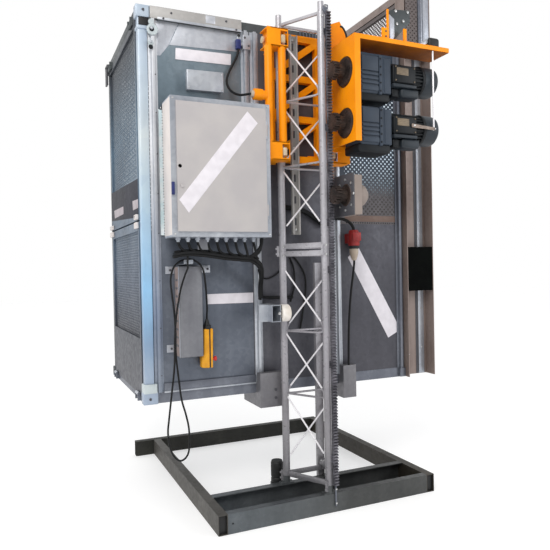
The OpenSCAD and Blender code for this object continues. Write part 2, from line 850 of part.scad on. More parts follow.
shelf_y0 = plate_y0 - plate_t;
gusset_y = 60;
gusset_t = 60;
gusset_w = 116;
gusset_h = 185;
gusset_shares = [[1, 0.4], [0.78, 0.75], [0.55, 1], [0, 0.86]];

module motor_shelf() {
    color("orange") difference() {
        translate([plate_x, shelf_y0, plate_z1]) {
            cube([shelf_len, shelf_depth, shelf_t]);
            translate([0, shelf_depth - weld, 0]) cube([front_tube_x - plate_x + carriage_tube / 2,
                box_y0 - seam - shelf_y0 - shelf_depth + weld, shelf_t]);
            // Gusset standing over the arm
            translate([0, gusset_y - shelf_y0 + gusset_t, shelf_t - weld]) rotate([90, 0, 0])
                linear_extrude(gusset_t) polygon(concat([[0, 0], [gusset_w, 0]],
                    [for (q = gusset_shares) [q[0] * gusset_w, q[1] * gusset_h]]));
        }
        translate([rod_x_pos, rod_y_pos, plate_z1 - overrun])
            cylinder(h = shelf_t + 2 * overrun, d = rod_d + 2 * pin_play);
    }
}

gear_x0 = plate_x + plate_t;
gear_x1 = gear_x0 + flange_len + gear_len;
motor_x1 = gear_x1 + motor_len;
rib_count = 4;
rib_t = 7;

module gear_unit(z) {
    zc = z - gear_drop;
    x0 = gear_x0 + flange_len;
    color("slategray") difference() {
        union() {
            rod_x([gear_x0 - plate_t, pinion_y, z], flange_len + plate_t + weld, flange_d);
            rod_x([gear_x0, pinion_y, z], ring_t, ring_d);
            xz_plate(pinion_y - gear_depth / 2, gear_depth) polygon([[x0, zc - gear_h / 2 + gear_chamfer / 2],
                [x0 + gear_chamfer / 2, zc - gear_h / 2], [x0 + gear_len * 0.7, zc - gear_h / 2],
                [x0 + gear_len, zc - gear_h / 2 + gear_chamfer], [x0 + gear_len, zc + gear_h / 2 - gear_chamfer],
                [x0 + gear_len * 0.7, zc + gear_h / 2], [x0 + gear_chamfer / 2, zc + gear_h / 2],
                [x0, zc + gear_h / 2 - gear_chamfer / 2]]);
            // Stiffening ribs on the front
            for (i = [0:rib_count - 1])
                translate([x0 + gear_chamfer, pinion_y - gear_depth / 2 - rib_t, zc - gear_h / 2 + gear_chamfer
                    + i * gear_chamfer * 0.8]) cube([gear_len * 0.45, rib_t, gear_chamfer * 0.4]);
            translate([x0 + gear_len * 0.62, pinion_y - gear_depth / 2 - rib_t, zc - gear_h / 2])
                cube([rib_t * 2, rib_t, gear_h]);
        }
        rod_x([gear_x0 - plate_t - overrun, pinion_y, z], shaft_seat + plate_t + overrun, shaft_d + 2 * pin_play);
    }
}

module gearbox_upper() gear_unit(upper_z);
module gearbox_lower() gear_unit(lower_z);

function fin_outline(r) = [for (i = [0:fin_count - 1]) let (a = 360 / fin_count * i, h = 360 / fin_count * fin_share / 2)
    each [[(r - fin_depth) * cos(a - h), (r - fin_depth) * sin(a - h)], [r * cos(a - h / 2), r * sin(a - h / 2)],
        [r * cos(a + h / 2), r * sin(a + h / 2)], [(r - fin_depth) * cos(a + h), (r - fin_depth) * sin(a + h)]]];

module drive_motor(z) {
    zc = z - gear_drop;
    y = pinion_y;
    color("dimgray") {
        translate([gear_x1, y, zc]) rotate([0, 90, 0]) linear_extrude(motor_len) polygon(fin_outline(motor_d / 2));
        translate([gear_x1, y, zc]) rotate([0, 90, 0]) cylinder(h = plate_t * 2, d = motor_d + fin_depth);
        // Fan cowl with a rounded end
        translate([motor_x1, y, zc]) rotate([0, 90, 0]) rotate_extrude() polygon([[0, 0], [cowl_d / 2, 0],
            [cowl_d / 2, cowl_len * 0.7], [cowl_d * 0.46, cowl_len * 0.86], [cowl_d * 0.38, cowl_len],
            [0, cowl_len]]);
        // Terminal box on the front
        translate([gear_x1 + motor_len * 0.08, y - motor_d / 2 - terminal_t + fin_depth * 2, zc - terminal_h / 2])
            cube([terminal_w, terminal_t, terminal_h]);
        // Rectifier box underneath
        translate([gear_x1 + motor_len * 0.3, y - terminal_h / 2, zc - motor_d / 2 - terminal_t * 0.5])
            cube([terminal_w, terminal_h, terminal_t]);
    }
}

module motor_upper() drive_motor(upper_z);
module motor_lower() drive_motor(lower_z);

module safety_device() {
    x0 = plate_x + plate_t;
    color("tan") difference() {
        union() {
            translate([plate_x - plate_t, pinion_y - safety_plate_w / 2, safety_z - safety_plate_h / 2])
                cube([plate_t, safety_plate_w / 2 - pinion_y + plate_y1, safety_plate_h]);
            rod_x([plate_x, pinion_y, safety_z], safety_box_len, safety_box_d);
            translate([plate_x + safety_box_len, pinion_y, safety_z]) rotate([0, 90, 0]) rotate_extrude()
                polygon([[0, 0], [dome_r, 0], [dome_r * 0.96, dome_r * 0.4], [dome_r * 0.8, dome_r * 0.75],
                    [dome_r * 0.5, dome_r], [0, dome_r]]);
        }
        rod_x([plate_x - plate_t - overrun, pinion_y, safety_z], shaft_seat + overrun, shaft_d + 2 * pin_play);
    }
}

// Involute pinion with its shaft; a tooth points at the rack
function inv(a) = tan(a) * 180 / PI - a;
function flank_angle(r, rb) = 90 / pinion_teeth - backlash / 4 / pinion_r * 180 / PI + inv(pressure)
    - inv(acos(rb / r));
flank_steps = 4;
function pinion_outline() = let (rb = pinion_r * cos(pressure), tip = pinion_r + addendum_share * rack_module,
    root = pinion_r - dedendum_share * rack_module,
    rs = [for (i = [0:flank_steps]) rb * 1.0005 + (tip - rb * 1.0005) * i / flank_steps])
    [for (i = [0:pinion_teeth - 1]) let (c = 360 / pinion_teeth * i, foot = flank_angle(rs[0], rb)) each concat(
        [[root * cos(c - foot), root * sin(c - foot)]],
        [for (r = rs) let (a = flank_angle(r, rb)) [r * cos(c - a), r * sin(c - a)]],
        [for (k = [flank_steps:-1:0]) let (r = rs[k], a = flank_angle(r, rb)) [r * cos(c + a), r * sin(c + a)]],
        [[root * cos(c + foot), root * sin(c + foot)]])];

module pinion(z) {
    color("saddlebrown") {
        yz_plate(pinion_x, pinion_w) translate([pinion_y, z]) polygon(pinion_outline());
        rod_x([pinion_x + pinion_w, pinion_y, z], plate_x - 2 * plate_t - pinion_x - pinion_w, pinion_hub_d);
        rod_x([pinion_x + pinion_w, pinion_y, z], plate_x + shaft_seat - plate_t * 2 - pinion_x - pinion_w, shaft_d);
    }
}

module pinion_upper() pinion(upper_z);
module pinion_lower() pinion(lower_z);
module pinion_safety() pinion(safety_z);

// Guide roller grooved to the leg
module guide_roller(side, z, angle) {
    color("burlywood") mirror([side > 0 ? 1 : 0, 0, 0]) translate([leg_l[0], leg_l[1], z]) rotate(angle)
        translate([roller_offset, 0, 0]) rotate([90, 0, 0]) rotate_extrude() difference() {
            translate([roller_pin_d / 2 + pin_play, -roller_w / 2])
                square([roller_r + roller_rim - roller_pin_d / 2 - pin_play, roller_w]);
            translate([roller_offset, 0]) circle(d = leg_d + 2 * run_gap);
        }
}

module roller_top_left() guide_roller(-1, box_top_z, front_angle);
module roller_top_right() guide_roller(1, box_top_z, front_angle);
module roller_low_left() guide_roller(-1, box_low_z, front_angle);
module roller_low_right() guide_roller(1, box_low_z, front_angle);
module roller_back_left() guide_roller(-1, box_low_z, back_angle);
module roller_back_right() guide_roller(1, box_low_z, back_angle);

nylon_r = 56;
nylon_w = 60;
nylon_z = 1272;
nylon_x1 = leg_l[0] - 3;
nylon_y = leg_l[1] - leg_d / 2 - run_gap - nylon_r;
nylon_box_w = 64;
nylon_box_h = 110;
nylon_pin_d = 20;
nylon_box_x1 = nylon_x1 - nylon_w - 8;

module nylon_roller() {
    color("white") translate([nylon_x1 - nylon_w, nylon_y, nylon_z]) rotate([0, 90, 0]) difference() {
        rotate_extrude() polygon([[0, 0], [nylon_r * 0.9, 0], [nylon_r, nylon_r * 0.1],
            [nylon_r, nylon_w - nylon_r * 0.1], [nylon_r * 0.9, nylon_w], [0, nylon_w]]);
        translate([0, 0, -overrun]) cylinder(h = nylon_w + 2 * overrun, d = nylon_pin_d + 2 * pin_play);
    }
}

nylon_head_t = 6;

module nylon_bracket() {
    y0 = nylon_y - nylon_box_w / 2;
    side_gap = nylon_x1 - nylon_w - nylon_box_x1;
    color("silver") {
        translate([nylon_box_x1 - nylon_box_w, y0, nylon_z - nylon_box_h / 2])
            rhs([nylon_box_w, cage_front - hat_depth - y0, nylon_box_h], hat_t, 1);
        translate([nylon_box_x1 - 2 * nylon_box_w, nylon_y + nylon_box_w / 2, nylon_z - nylon_box_h / 2])
            cube([nylon_box_w + weld, hat_t, nylon_box_h]);
        rod_x([nylon_box_x1 - hat_t, nylon_y, nylon_z], nylon_x1 + 2 - nylon_box_x1 + hat_t, nylon_pin_d);
        rod_x([nylon_box_x1 - weld, nylon_y, nylon_z], side_gap - guide_gap + weld, nylon_pin_d * 1.5);
    }
}

// Brackets under the front of the cage that meet the buffer
strike_left_x = [-325, -165];
strike_right_x = [318, 422];
strike_y0 = cage_front - 80;
strike_y1 = cage_front + 230;
strike_drop = 92;
strike_rise = 140;
strike_wall = 6;

module strike_box(x) {
    w = x[1] - x[0];
    difference() {
        yz_plate(x[0], w) polygon([[strike_y0, cage_bottom - strike_drop], [strike_y1, cage_bottom - strike_drop],
            [strike_y1, cage_bottom], [cage_front, cage_bottom], [cage_front - hat_depth, cage_bottom],
            [cage_front - hat_depth, cage_bottom + strike_rise], [strike_y0, cage_bottom + strike_rise]]);
        translate([x[0] + strike_wall, strike_y0 + strike_wall, cage_bottom - strike_drop + strike_wall])
            cube([w - 2 * strike_wall, strike_y1 - strike_y0 - 2 * strike_wall, strike_drop - 2 * strike_wall]);
    }
    translate([x[0], cage_front - hat_depth, cage_bottom]) cube([w, hat_depth, floor_h]);
}

module strike_boxes() {
    color("silver") {
        strike_box(strike_left_x);
        strike_box(strike_right_x);
    }
}

// Doors

module leaf_frame(y0, y1, z0, h, x) {
    w = y1 - y0;
    difference() {
        translate([x, y0, z0]) cube([leaf_t, w, h]);
        translate([x - overrun, y0 + leaf_bar, z0 + leaf_bar])
            cube([leaf_t + 2 * overrun, w - 2 * leaf_bar, h - 2 * leaf_bar]);
    }
    translate([x + leaf_t / 2, y0 + leaf_bar, z0 + leaf_bar]) cube([sheet_t, w - 2 * leaf_bar, h - 2 * leaf_bar]);
}

// Bored barrels on a leaf
module hinge_barrels(z) {
    for (y = barrel_ys) difference() {
        rod_y([barrel_x, y, z], hinge_len, hinge_d);
        rod_y([barrel_x, y - overrun, z], hinge_len + 2 * overrun, hinge_pin_d + 2 * pin_play);
    }
}

// Lower leaf: turns out and down about its bottom edge
module left_ramp() {
    color("steelblue") {
        leaf_frame(leaf_y0, leaf_y1, ramp_z, ramp_h, leaf_x);
        hinge_barrels(ramp_z + hinge_d / 2);
    }
}

// Upper leaf: turns out and up about its top edge
module left_flap() {
    h = flap_top - flap_z;
    color("steelblue") {
        leaf_frame(leaf_y0, leaf_y1, flap_z, h, leaf_x);
        translate([leaf_x + label_band_t, leaf_y0 + leaf_bar, flap_z + leaf_bar])
            cube([label_band_t, leaf_y1 - leaf_y0 - 2 * leaf_bar, band_h]);
        hinge_barrels(flap_top - hinge_d / 2);
    }
}

module right_gate() {
    color("rosybrown") leaf_frame(gate_y0, gate_y1, gate_rest, gate_h, gate_x);
}

weight_h = 334;
weight_z = 1375;
weight_d = 60;

module counterweight() {
    color("black") translate([column_x + column_wall + guide_gap, column_front + slide_gap, weight_z])
        cube([column_w - 2 * column_wall - 2 * guide_gap, weight_d, weight_h]);
}

// Cabinet

door_gap = 2;
door_hinge_x = cab_x0 + cab_w - cab_border + door_gap + cab_hinge_d / 2 - weld;
door_hinge_y = cab_y0 - cab_hinge_d / 2 - pin_play;
door_hinge_zs = [cab_z0 + 0.16 * cab_h, cab_z0 + 0.76 * cab_h];
cab_pin_d = 7;
knuckle_h = 18;

module cabinet_body() {
    foot_w = 40;
    color("lightgray") {
        difference() {
            translate([cab_x0, cab_y0, cab_z0]) cube([cab_w, cab_d, cab_h]);
            translate([cab_x0 + cab_wall, cab_y0 + cab_wall, cab_z0 + cab_wall])
                cube([cab_w - 2 * cab_wall, cab_d - 2 * cab_wall, cab_h - 2 * cab_wall]);
            translate([cab_x0 + cab_border, cab_y0 - overrun, cab_z0 + cab_border])
                cube([cab_w - 2 * cab_border, cab_wall + 2 * overrun, cab_h - 2 * cab_border]);
        }
        for (x = [cab_x0 + foot_w, cab_x0 + cab_w - 3 * foot_w], z = [cab_z0 + foot_w, cab_z0 + cab_h - 2 * foot_w])
            translate([x, cab_y0 + cab_d, z]) rhs([foot_w, cage_front - cab_y0 - cab_d, foot_w], hat_t, 2);
        // Fixed knuckles and pins of the door hinges
        for (z = door_hinge_zs) {
            for (k = [z - knuckle_h - guide_gap / 2, z + hinge_len + guide_gap / 2]) {
                translate([door_hinge_x, door_hinge_y, k]) cylinder(h = knuckle_h, d = cab_hinge_d);
                translate([door_hinge_x, door_hinge_y, k])
                    cube([cab_hinge_d / 2, cab_y0 - door_hinge_y + weld, knuckle_h]);
            }
            translate([door_hinge_x, door_hinge_y, z - knuckle_h])
                cylinder(h = hinge_len + 2 * knuckle_h, d = cab_pin_d);
        }
    }
}

module cabinet_door() {
    w = cab_w - 2 * cab_border + 2 * door_gap;
    h = cab_h - 2 * cab_border + 2 * door_gap;
    x0 = cab_x0 + cab_border - door_gap;
    z0 = cab_z0 + cab_border - door_gap;
    color("gainsboro") {
        difference() {
            translate([x0, cab_y0 - cab_door_t - pin_play, z0]) cube([w, cab_door_t, h]);
            translate([x0 + cab_wall, cab_y0 - cab_door_t - pin_play + cab_wall, z0 + cab_wall])
                cube([w - 2 * cab_wall, cab_door_t, h - 2 * cab_wall]);
            // Room for the fixed knuckles
            for (z = door_hinge_zs, k = [z - knuckle_h - guide_gap, z + hinge_len])
                translate([door_hinge_x, door_hinge_y, k])
                    cylinder(h = knuckle_h + guide_gap, d = cab_hinge_d + 2 * pin_play);
        }
        for (z = door_hinge_zs) difference() {
            translate([door_hinge_x, door_hinge_y, z]) cylinder(h = hinge_len, d = cab_hinge_d);
            translate([door_hinge_x, door_hinge_y, z - overrun])
                cylinder(h = hinge_len + 2 * overrun, d = cab_pin_d + 2 * pin_play);
        }
        rod_y([x0 + cab_hinge_d * 2, cab_y0 - cab_door_t - pin_play - bolt_head_h, cab_z0 + cab_h * 0.36], bolt_head_h, bolt_head_d);
    }
}

gear_rows = 3;
gear_columns = 6;

// Mounting plate with contactors, and a drive unit below them
module cabinet_gear() {
    x0 = cab_x0 + cab_plate_gap;
    y0 = cab_y0 + cab_d - cab_plate_gap;
    z0 = cab_z0 + cab_plate_gap;
    w = cab_w - 2 * cab_plate_gap;
    h = cab_h - 2 * cab_plate_gap;
    unit_w = w / (gear_columns + 1);
    unit_h = h / 8;
    unit_d = cab_d * 0.4;
    color("white") {
        translate([x0, y0, z0]) cube([w, sheet_t, h]);
        for (x = [x0, x0 + w - cab_plate_gap], z = [z0, z0 + h - cab_plate_gap])
            translate([x, y0 + sheet_t, z]) cube([cab_plate_gap, cab_plate_gap - sheet_t - cab_wall, cab_plate_gap]);
        for (r = [0:gear_rows - 1], c = [0:gear_columns - 1])
            translate([x0 + unit_w * (c + 0.6), y0 - unit_d, z0 + h * 0.45 + r * unit_h * 1.4])
                cube([unit_w * 0.8, unit_d, unit_h]);
        translate([x0 + w * 0.2, y0 - unit_d * 1.4, z0 + h * 0.06]) cube([w * 0.5, unit_d * 1.4, h * 0.32]);
    }
}

res_foot = 24;

module resistor_box() {
    y0 = cage_front - res_d;
    color("gray") {
        translate([res_x0, y0, res_z0]) difference() {
            cube([res_w, res_d - hat_t, res_h]);
            translate([hat_t, hat_t, hat_t]) cube([res_w - 2 * hat_t, res_d - 3 * hat_t, res_h - 2 * hat_t]);
        }
        for (x = [res_x0 - res_foot * 2, res_x0 + res_w], z = [res_z0 + res_foot, res_z0 + res_h - 2 * res_foot])
            translate([x, cage_front - hat_t, z]) cube([2 * res_foot, hat_t, res_foot]);
        translate([res_x0, cage_front - hat_t, res_z0]) cube([res_w, hat_t, res_h]);
    }
}

module junction_box() {
    y0 = cage_front - jbox_d;
    color("lightgray") {
        translate([jbox_x0, y0 + jbox_lip, jbox_z0]) cube([jbox_w, jbox_d - jbox_lip, jbox_h]);
        translate([jbox_x0 - jbox_lip / 2, y0, jbox_z0 - jbox_lip / 2])
            cube([jbox_w + jbox_lip, jbox_lip, jbox_h + jbox_lip]);
    }
}

switch_w = 34;
switch_h = 80;
switch_d = 32;
switch_x = -430;
switch_z = 3035;

module limit_switch() {
    color("royalblue") {
        translate([switch_x, cage_front - switch_d - hat_t, switch_z]) cube([switch_w, switch_d, switch_h]);
        translate([switch_x, cage_front - hat_t, switch_z - switch_w]) cube([switch_w, hat_t, switch_h + switch_w]);
        translate([switch_x + switch_w / 2, cage_front - switch_d / 2 - hat_t, switch_z + switch_h])
            cylinder(h = switch_w / 2, d = switch_w / 3);
        rod_y([switch_x + switch_w / 2, cage_front - switch_d - hat_t - switch_w / 4, switch_z + switch_h * 0.8],
            switch_w / 4, switch_w / 2);
    }
}

// Glands under the cabinet, with their cables gathered in one bundle along the cage
gland_count = 9;
gland_d = 30;
gland_h = 26;
gland_y = cab_y0 + cab_d * 0.55;
gland_step = 62;
gland_x0 = cab_x0 + 60;
bundle_d = 44;
bundle_z = cab_z0 - 150;
gland_cord_d = 18;

run_x1 = gland_x0 + (gland_count - 1) * gland_step;
hook_x = -850;
hook_w = 60;
hook_y = 268;
hook_z = 1600;

ball_share = 1.06;

// Chain of straight round lengths with rounded corners
module chain(p, d) {
    for (i = [0:len(p) - 2]) bar(p[i], p[i + 1], d);
    for (i = [1:len(p) - 2]) translate(p[i]) sphere(d = d * ball_share);
}

module cable_harness() {
    y = gland_y;
    y_back = cage_front - hat_depth - bundle_d * ball_share / 2 - seam;
    drop = [[gland_x0, y, bundle_z], [run_x1, y, bundle_z], [run_x1 + gland_step, y + bundle_d, bundle_z - bundle_d],
        [hat_x[2] + hat_w / 2, y_back, bundle_z - bundle_d * 3], [hat_x[2] + hat_w / 2, y_back, bundle_z - bundle_d * 5.6]];
    color("black") {
        for (i = [0:gland_count - 1]) {
            x = gland_x0 + i * gland_step;
            translate([x, y, cab_z0 - gland_h]) cylinder(h = gland_h, d = gland_d);
            chain([[x, y, cab_z0 - gland_h / 2], [x, y, cab_z0 - gland_h * 2], [x + gland_step / 2, y, bundle_z]],
                gland_cord_d);
        }
        chain(drop, bundle_d);
        // Hook on the sheet that carries the hand control's cable
        translate([hook_x, hook_y, hook_z]) cube([hook_w, cage_front - hook_y, hat_t]);
        translate([hook_x, hook_y, hook_z]) cube([hook_w, hat_t, hook_w / 2]);
    }
}

// Hand control that hangs on the front sheet
pend_seam = 3;
pend_neck_d = 30;
pend_neck_h = 60;

module pendant() {
    x0 = pend_x0;
    half = (pend_w - pend_seam) / 2;
    color("gold") {
        difference() {
            translate([x0, pend_y0, pend_z0]) cube([pend_w, pend_d, pend_h]);
            translate([x0 + half, pend_y0 - overrun, pend_z0 - overrun])
                cube([pend_seam, overrun + pend_seam, pend_h + 2 * overrun]);
            rod_x([x0 + pend_w - pend_seam * 4, pend_y0 + pend_d / 2, estop_z], pend_seam * 4 + overrun, estop_d * 0.6 + 2 * pin_play);
        }
        // Hook behind it, on the sheet
        translate([x0 + pend_w / 3, pend_y0 + pend_d, pend_z0 + pend_h * 0.7])
            cube([pend_w / 3, cage_front - pend_y0 - pend_d, pend_w / 3]);
        translate([x0 + pend_w / 2, pend_y0 + pend_d / 2, pend_z0 + pend_h])
            cylinder(h = pend_neck_h, d1 = pend_neck_d * 1.4, d2 = pend_neck_d * 0.6);
    }
}

module estop_button() {
    x0 = pend_x0 + pend_w;
    y = pend_y0 + pend_d / 2;
    color("red") {
        rod_x([x0 - pend_seam * 2, y, estop_z], pend_seam * 2 + estop_len * 0.5, estop_d * 0.6);
        translate([x0 + estop_len * 0.4, y, estop_z]) rotate([0, 90, 0]) rotate_extrude()
            polygon([[0, 0], [estop_d * 0.42, 0], [estop_d / 2, estop_len * 0.2], [estop_d / 2, estop_len * 0.45],
                [estop_d * 0.3, estop_len * 0.6], [0, estop_len * 0.6]]);
    }
}

socket_d = 86;
socket_h = 132;
plug_h = 86;
plug_d = 64;

// Supply inlet on the front sheet, with the plug hanging in it
module power_coupling() {
    top = plug_z + plug_h;
    color("firebrick") {
        translate([plug_x, plug_y, top]) cylinder(h = socket_h, d1 = socket_d, d2 = socket_d * 0.8);
        translate([plug_x - socket_d / 2, plug_y, top + socket_h * 0.25])
            cube([socket_d, cage_front - plug_y, socket_h * 0.6]);
        translate([plug_x, plug_y, plug_z]) rotate_extrude() polygon([[0, 0], [plug_d * 0.25, 0], [plug_d / 2, plug_h * 0.5],
            [plug_d / 2, plug_h], [0, plug_h]]);
    }
}

// Bracket and brake lever stand on the motor shelf
fit_x = 410;
fit_w = 150;
fit_h = 200;
lever_x = 690;

module shelf_fittings() {
    z0 = plate_z1 + shelf_t;
    y = shelf_y0 + shelf_depth * 0.35;
    color("gainsboro") {
        for (x = [fit_x - plate_t * 3, fit_x + fit_w]) translate([x, y, z0]) cube([plate_t * 3, plate_t, fit_h * 0.5]);
        translate([fit_x, y, z0]) cube([fit_w, plate_t * 6, plate_t]);
        xz_plate(y, plate_t) polygon([[fit_x, z0], [fit_x + fit_w * 0.5, z0], [fit_x + fit_w, z0 + fit_h * 0.6],
            [fit_x + fit_w, z0 + fit_h], [fit_x, z0 + fit_h]]);
        translate([lever_x, shelf_y0 + plate_t * 4, z0]) cube([plate_t * 10, plate_t * 2, plate_t * 5]);
        translate([lever_x - fit_w * 0.6, shelf_y0 + plate_t * 4, z0 + plate_t * 4]) cube([fit_w * 0.6, plate_t * 2, plate_t]);
    }
}

rod_d = 8;
rod_x_pos = 720;
rod_y_pos = shelf_y0 + rod_d - 1;
rod_low = lower_z - gear_drop;
rod_top = plate_z1 + shelf_t + 60;
lever_len = 150;

// Rod that lifts both brakes, through a hole in the shelf
module brake_rod() {
    color("silver") {
        translate([rod_x_pos, rod_y_pos, rod_low]) cylinder(h = rod_top - rod_low, d = rod_d);
        translate([rod_x_pos - lever_len, rod_y_pos - rod_d / 2, rod_low])
            cube([lever_len + rod_d / 2, rod_d, rod_d * 2]);
    }
}

// Routes of the two hanging cords, chosen by hand
pendant_route = [[-838, 225, 1591], [-838, 227, 1576], [-848, 246, 1540], [-872, 266, 1455], [-890, 276, 1355], [-905, 280, 1255],
    [-915, 280, 1115], [-920, 280, 970], [-940, 280, 805], [-960, 285, 640], [-968, 285, 560], [-958, 288, 475],
    [-930, 290, 405], [-890, 290, 375], [-850, 294, 395], [-832, 295, 450], [-832, 295, 565], [-850, 295, 660],
    [-875, 295, 755], [-892, 295, 895], [-905, 295, 1040], [-905, 295, 1200], [-912, 295, 1320], [-925, 292, 1430],
    [-930, 290, 1510], [-912, 288, 1580], [-870, 286, 1620], [-810, 286, 1632], [-755, 288, 1612],
    [-722, 290, 1570], [-706, 300, 1500], [-692, 322, 1410], [-682, 345, 1320], [-681, 356, 1270], [-681, 358, 1246]];
plug_route = [[430, 345, 1611.9], [430, 345, 1590], [427, 345, 1565], [418, 345, 1500],
    [402, 345, 1400], [388, 345, 1280], [378, 345, 1150],
    [372, 345, 1000], [370, 345, 885], [370, 345, 862.4]];

module pendant_cable() {
    color("black") sweep(spline(pendant_route, 2), cord_d, 8);
}

module plug_cable() {
    color("black") sweep(spline(plug_route, 2), plug_cord_d, 8);
}

base_side_tubes();
rear_base_beam();
mast_tray();
mast_section_lower();
mast_section_upper();
rack_lower();
rack_upper();
joint_hardware();
buffer_stand();
rubber_buffer();
limit_rail();
cage_floor();
cage_roof();
left_posts();
gate_column_front();
gate_column_rear();
front_sheets();
front_uprights();
front_right_sheets();
rear_wall();
carriage_left_column();
carriage_right_column();
carriage_truss();
drive_plate();
motor_shelf();
gearbox_upper();
gearbox_lower();
motor_upper();
motor_lower();
safety_device();
strike_boxes();
cabinet_body();
cabinet_gear();
resistor_box();
junction_box();
limit_switch();
nylon_bracket();
cable_harness();
pendant();
power_coupling();
shelf_fittings();
pinion_upper();
pinion_lower();
pinion_safety();
roller_top_left();
roller_top_right();
roller_low_left();
roller_low_right();
roller_back_left();
roller_back_right();
nylon_roller();
left_ramp();
left_flap();
right_gate();
counterweight();
cabinet_door();
estop_button();
brake_rod();
pendant_cable();
plug_cable();
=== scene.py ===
"""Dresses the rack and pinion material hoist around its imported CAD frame."""
import math

import bpy
from mathutils import Matrix, Vector


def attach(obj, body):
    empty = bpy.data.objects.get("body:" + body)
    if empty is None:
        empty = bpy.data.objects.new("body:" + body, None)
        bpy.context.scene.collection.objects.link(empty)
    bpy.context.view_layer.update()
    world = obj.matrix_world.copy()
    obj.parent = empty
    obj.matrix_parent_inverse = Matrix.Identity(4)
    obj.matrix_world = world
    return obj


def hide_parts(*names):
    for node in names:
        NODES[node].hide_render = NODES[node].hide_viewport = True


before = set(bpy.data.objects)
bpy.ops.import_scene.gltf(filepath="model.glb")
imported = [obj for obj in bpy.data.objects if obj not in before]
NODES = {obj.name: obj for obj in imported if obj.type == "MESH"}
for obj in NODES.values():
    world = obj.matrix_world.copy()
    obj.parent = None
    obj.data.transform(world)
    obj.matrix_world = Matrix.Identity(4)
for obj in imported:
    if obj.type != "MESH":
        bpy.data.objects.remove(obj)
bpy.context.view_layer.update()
MM = 0.001


# Small tools

def pick(*pieces):
    """Selects these pieces alone, the first of them as the active one"""
    bpy.ops.object.select_all(action="DESELECT")
    for piece in pieces:
        piece.select_set(True)
    if pieces:
        bpy.context.view_layer.objects.active = pieces[0]


def tone(code):
    """sRGB hex to the linear colour that a shader socket takes"""
    parts = [int(code[i:i + 2], 16) / 255 for i in (1, 3, 5)]
    flat = [c / 12.92 if c <= 0.04045 else ((c + 0.055) / 1.055) ** 2.4 for c in parts]
    return (*flat, 1.0)


def add(tree, kind, settings=None, links=()):
    """Adds one shader node: settings go to its properties or sockets, links are (socket, node, output)"""
    node = tree.nodes.new(kind)
    for key, value in (settings or {}).items():
        if isinstance(key, str) and hasattr(node, key):
            setattr(node, key, value)
        else:
            node.inputs[key].default_value = value
    for socket, source, output in links:
        tree.links.new(source.outputs[output], node.inputs[socket])
    return node


def noise(tree, source, scale, detail, output="Object", **settings):
    """Noise over the object's own coordinates, or over those of a mapping; scale is in patches to the metre"""
    return add(tree, "ShaderNodeTexNoise", {"Scale": scale, "Detail": detail, **settings}, [("Vector", source, output)])


def new_finish(name):
    """An empty material with its Principled shader and the object's own coordinates"""
    finish = bpy.data.materials.new(name)
    finish.use_nodes = True
    tree = finish.node_tree
    tree.nodes.clear()
    shader = add(tree, "ShaderNodeBsdfPrincipled")
    add(tree, "ShaderNodeOutputMaterial", links=[("Surface", shader, "BSDF")])
    place = add(tree, "ShaderNodeTexCoord")
    return finish, tree, shader, place


def stops(ramp, pairs):
    """Sets the colours of a ramp node, from (position, hex) pairs"""
    elements = ramp.color_ramp.elements
    while len(elements) < len(pairs):
        elements.new(0.5)
    for element, (position, code) in zip(elements, pairs):
        element.position = position
        element.color = tone(code)


# Finishes

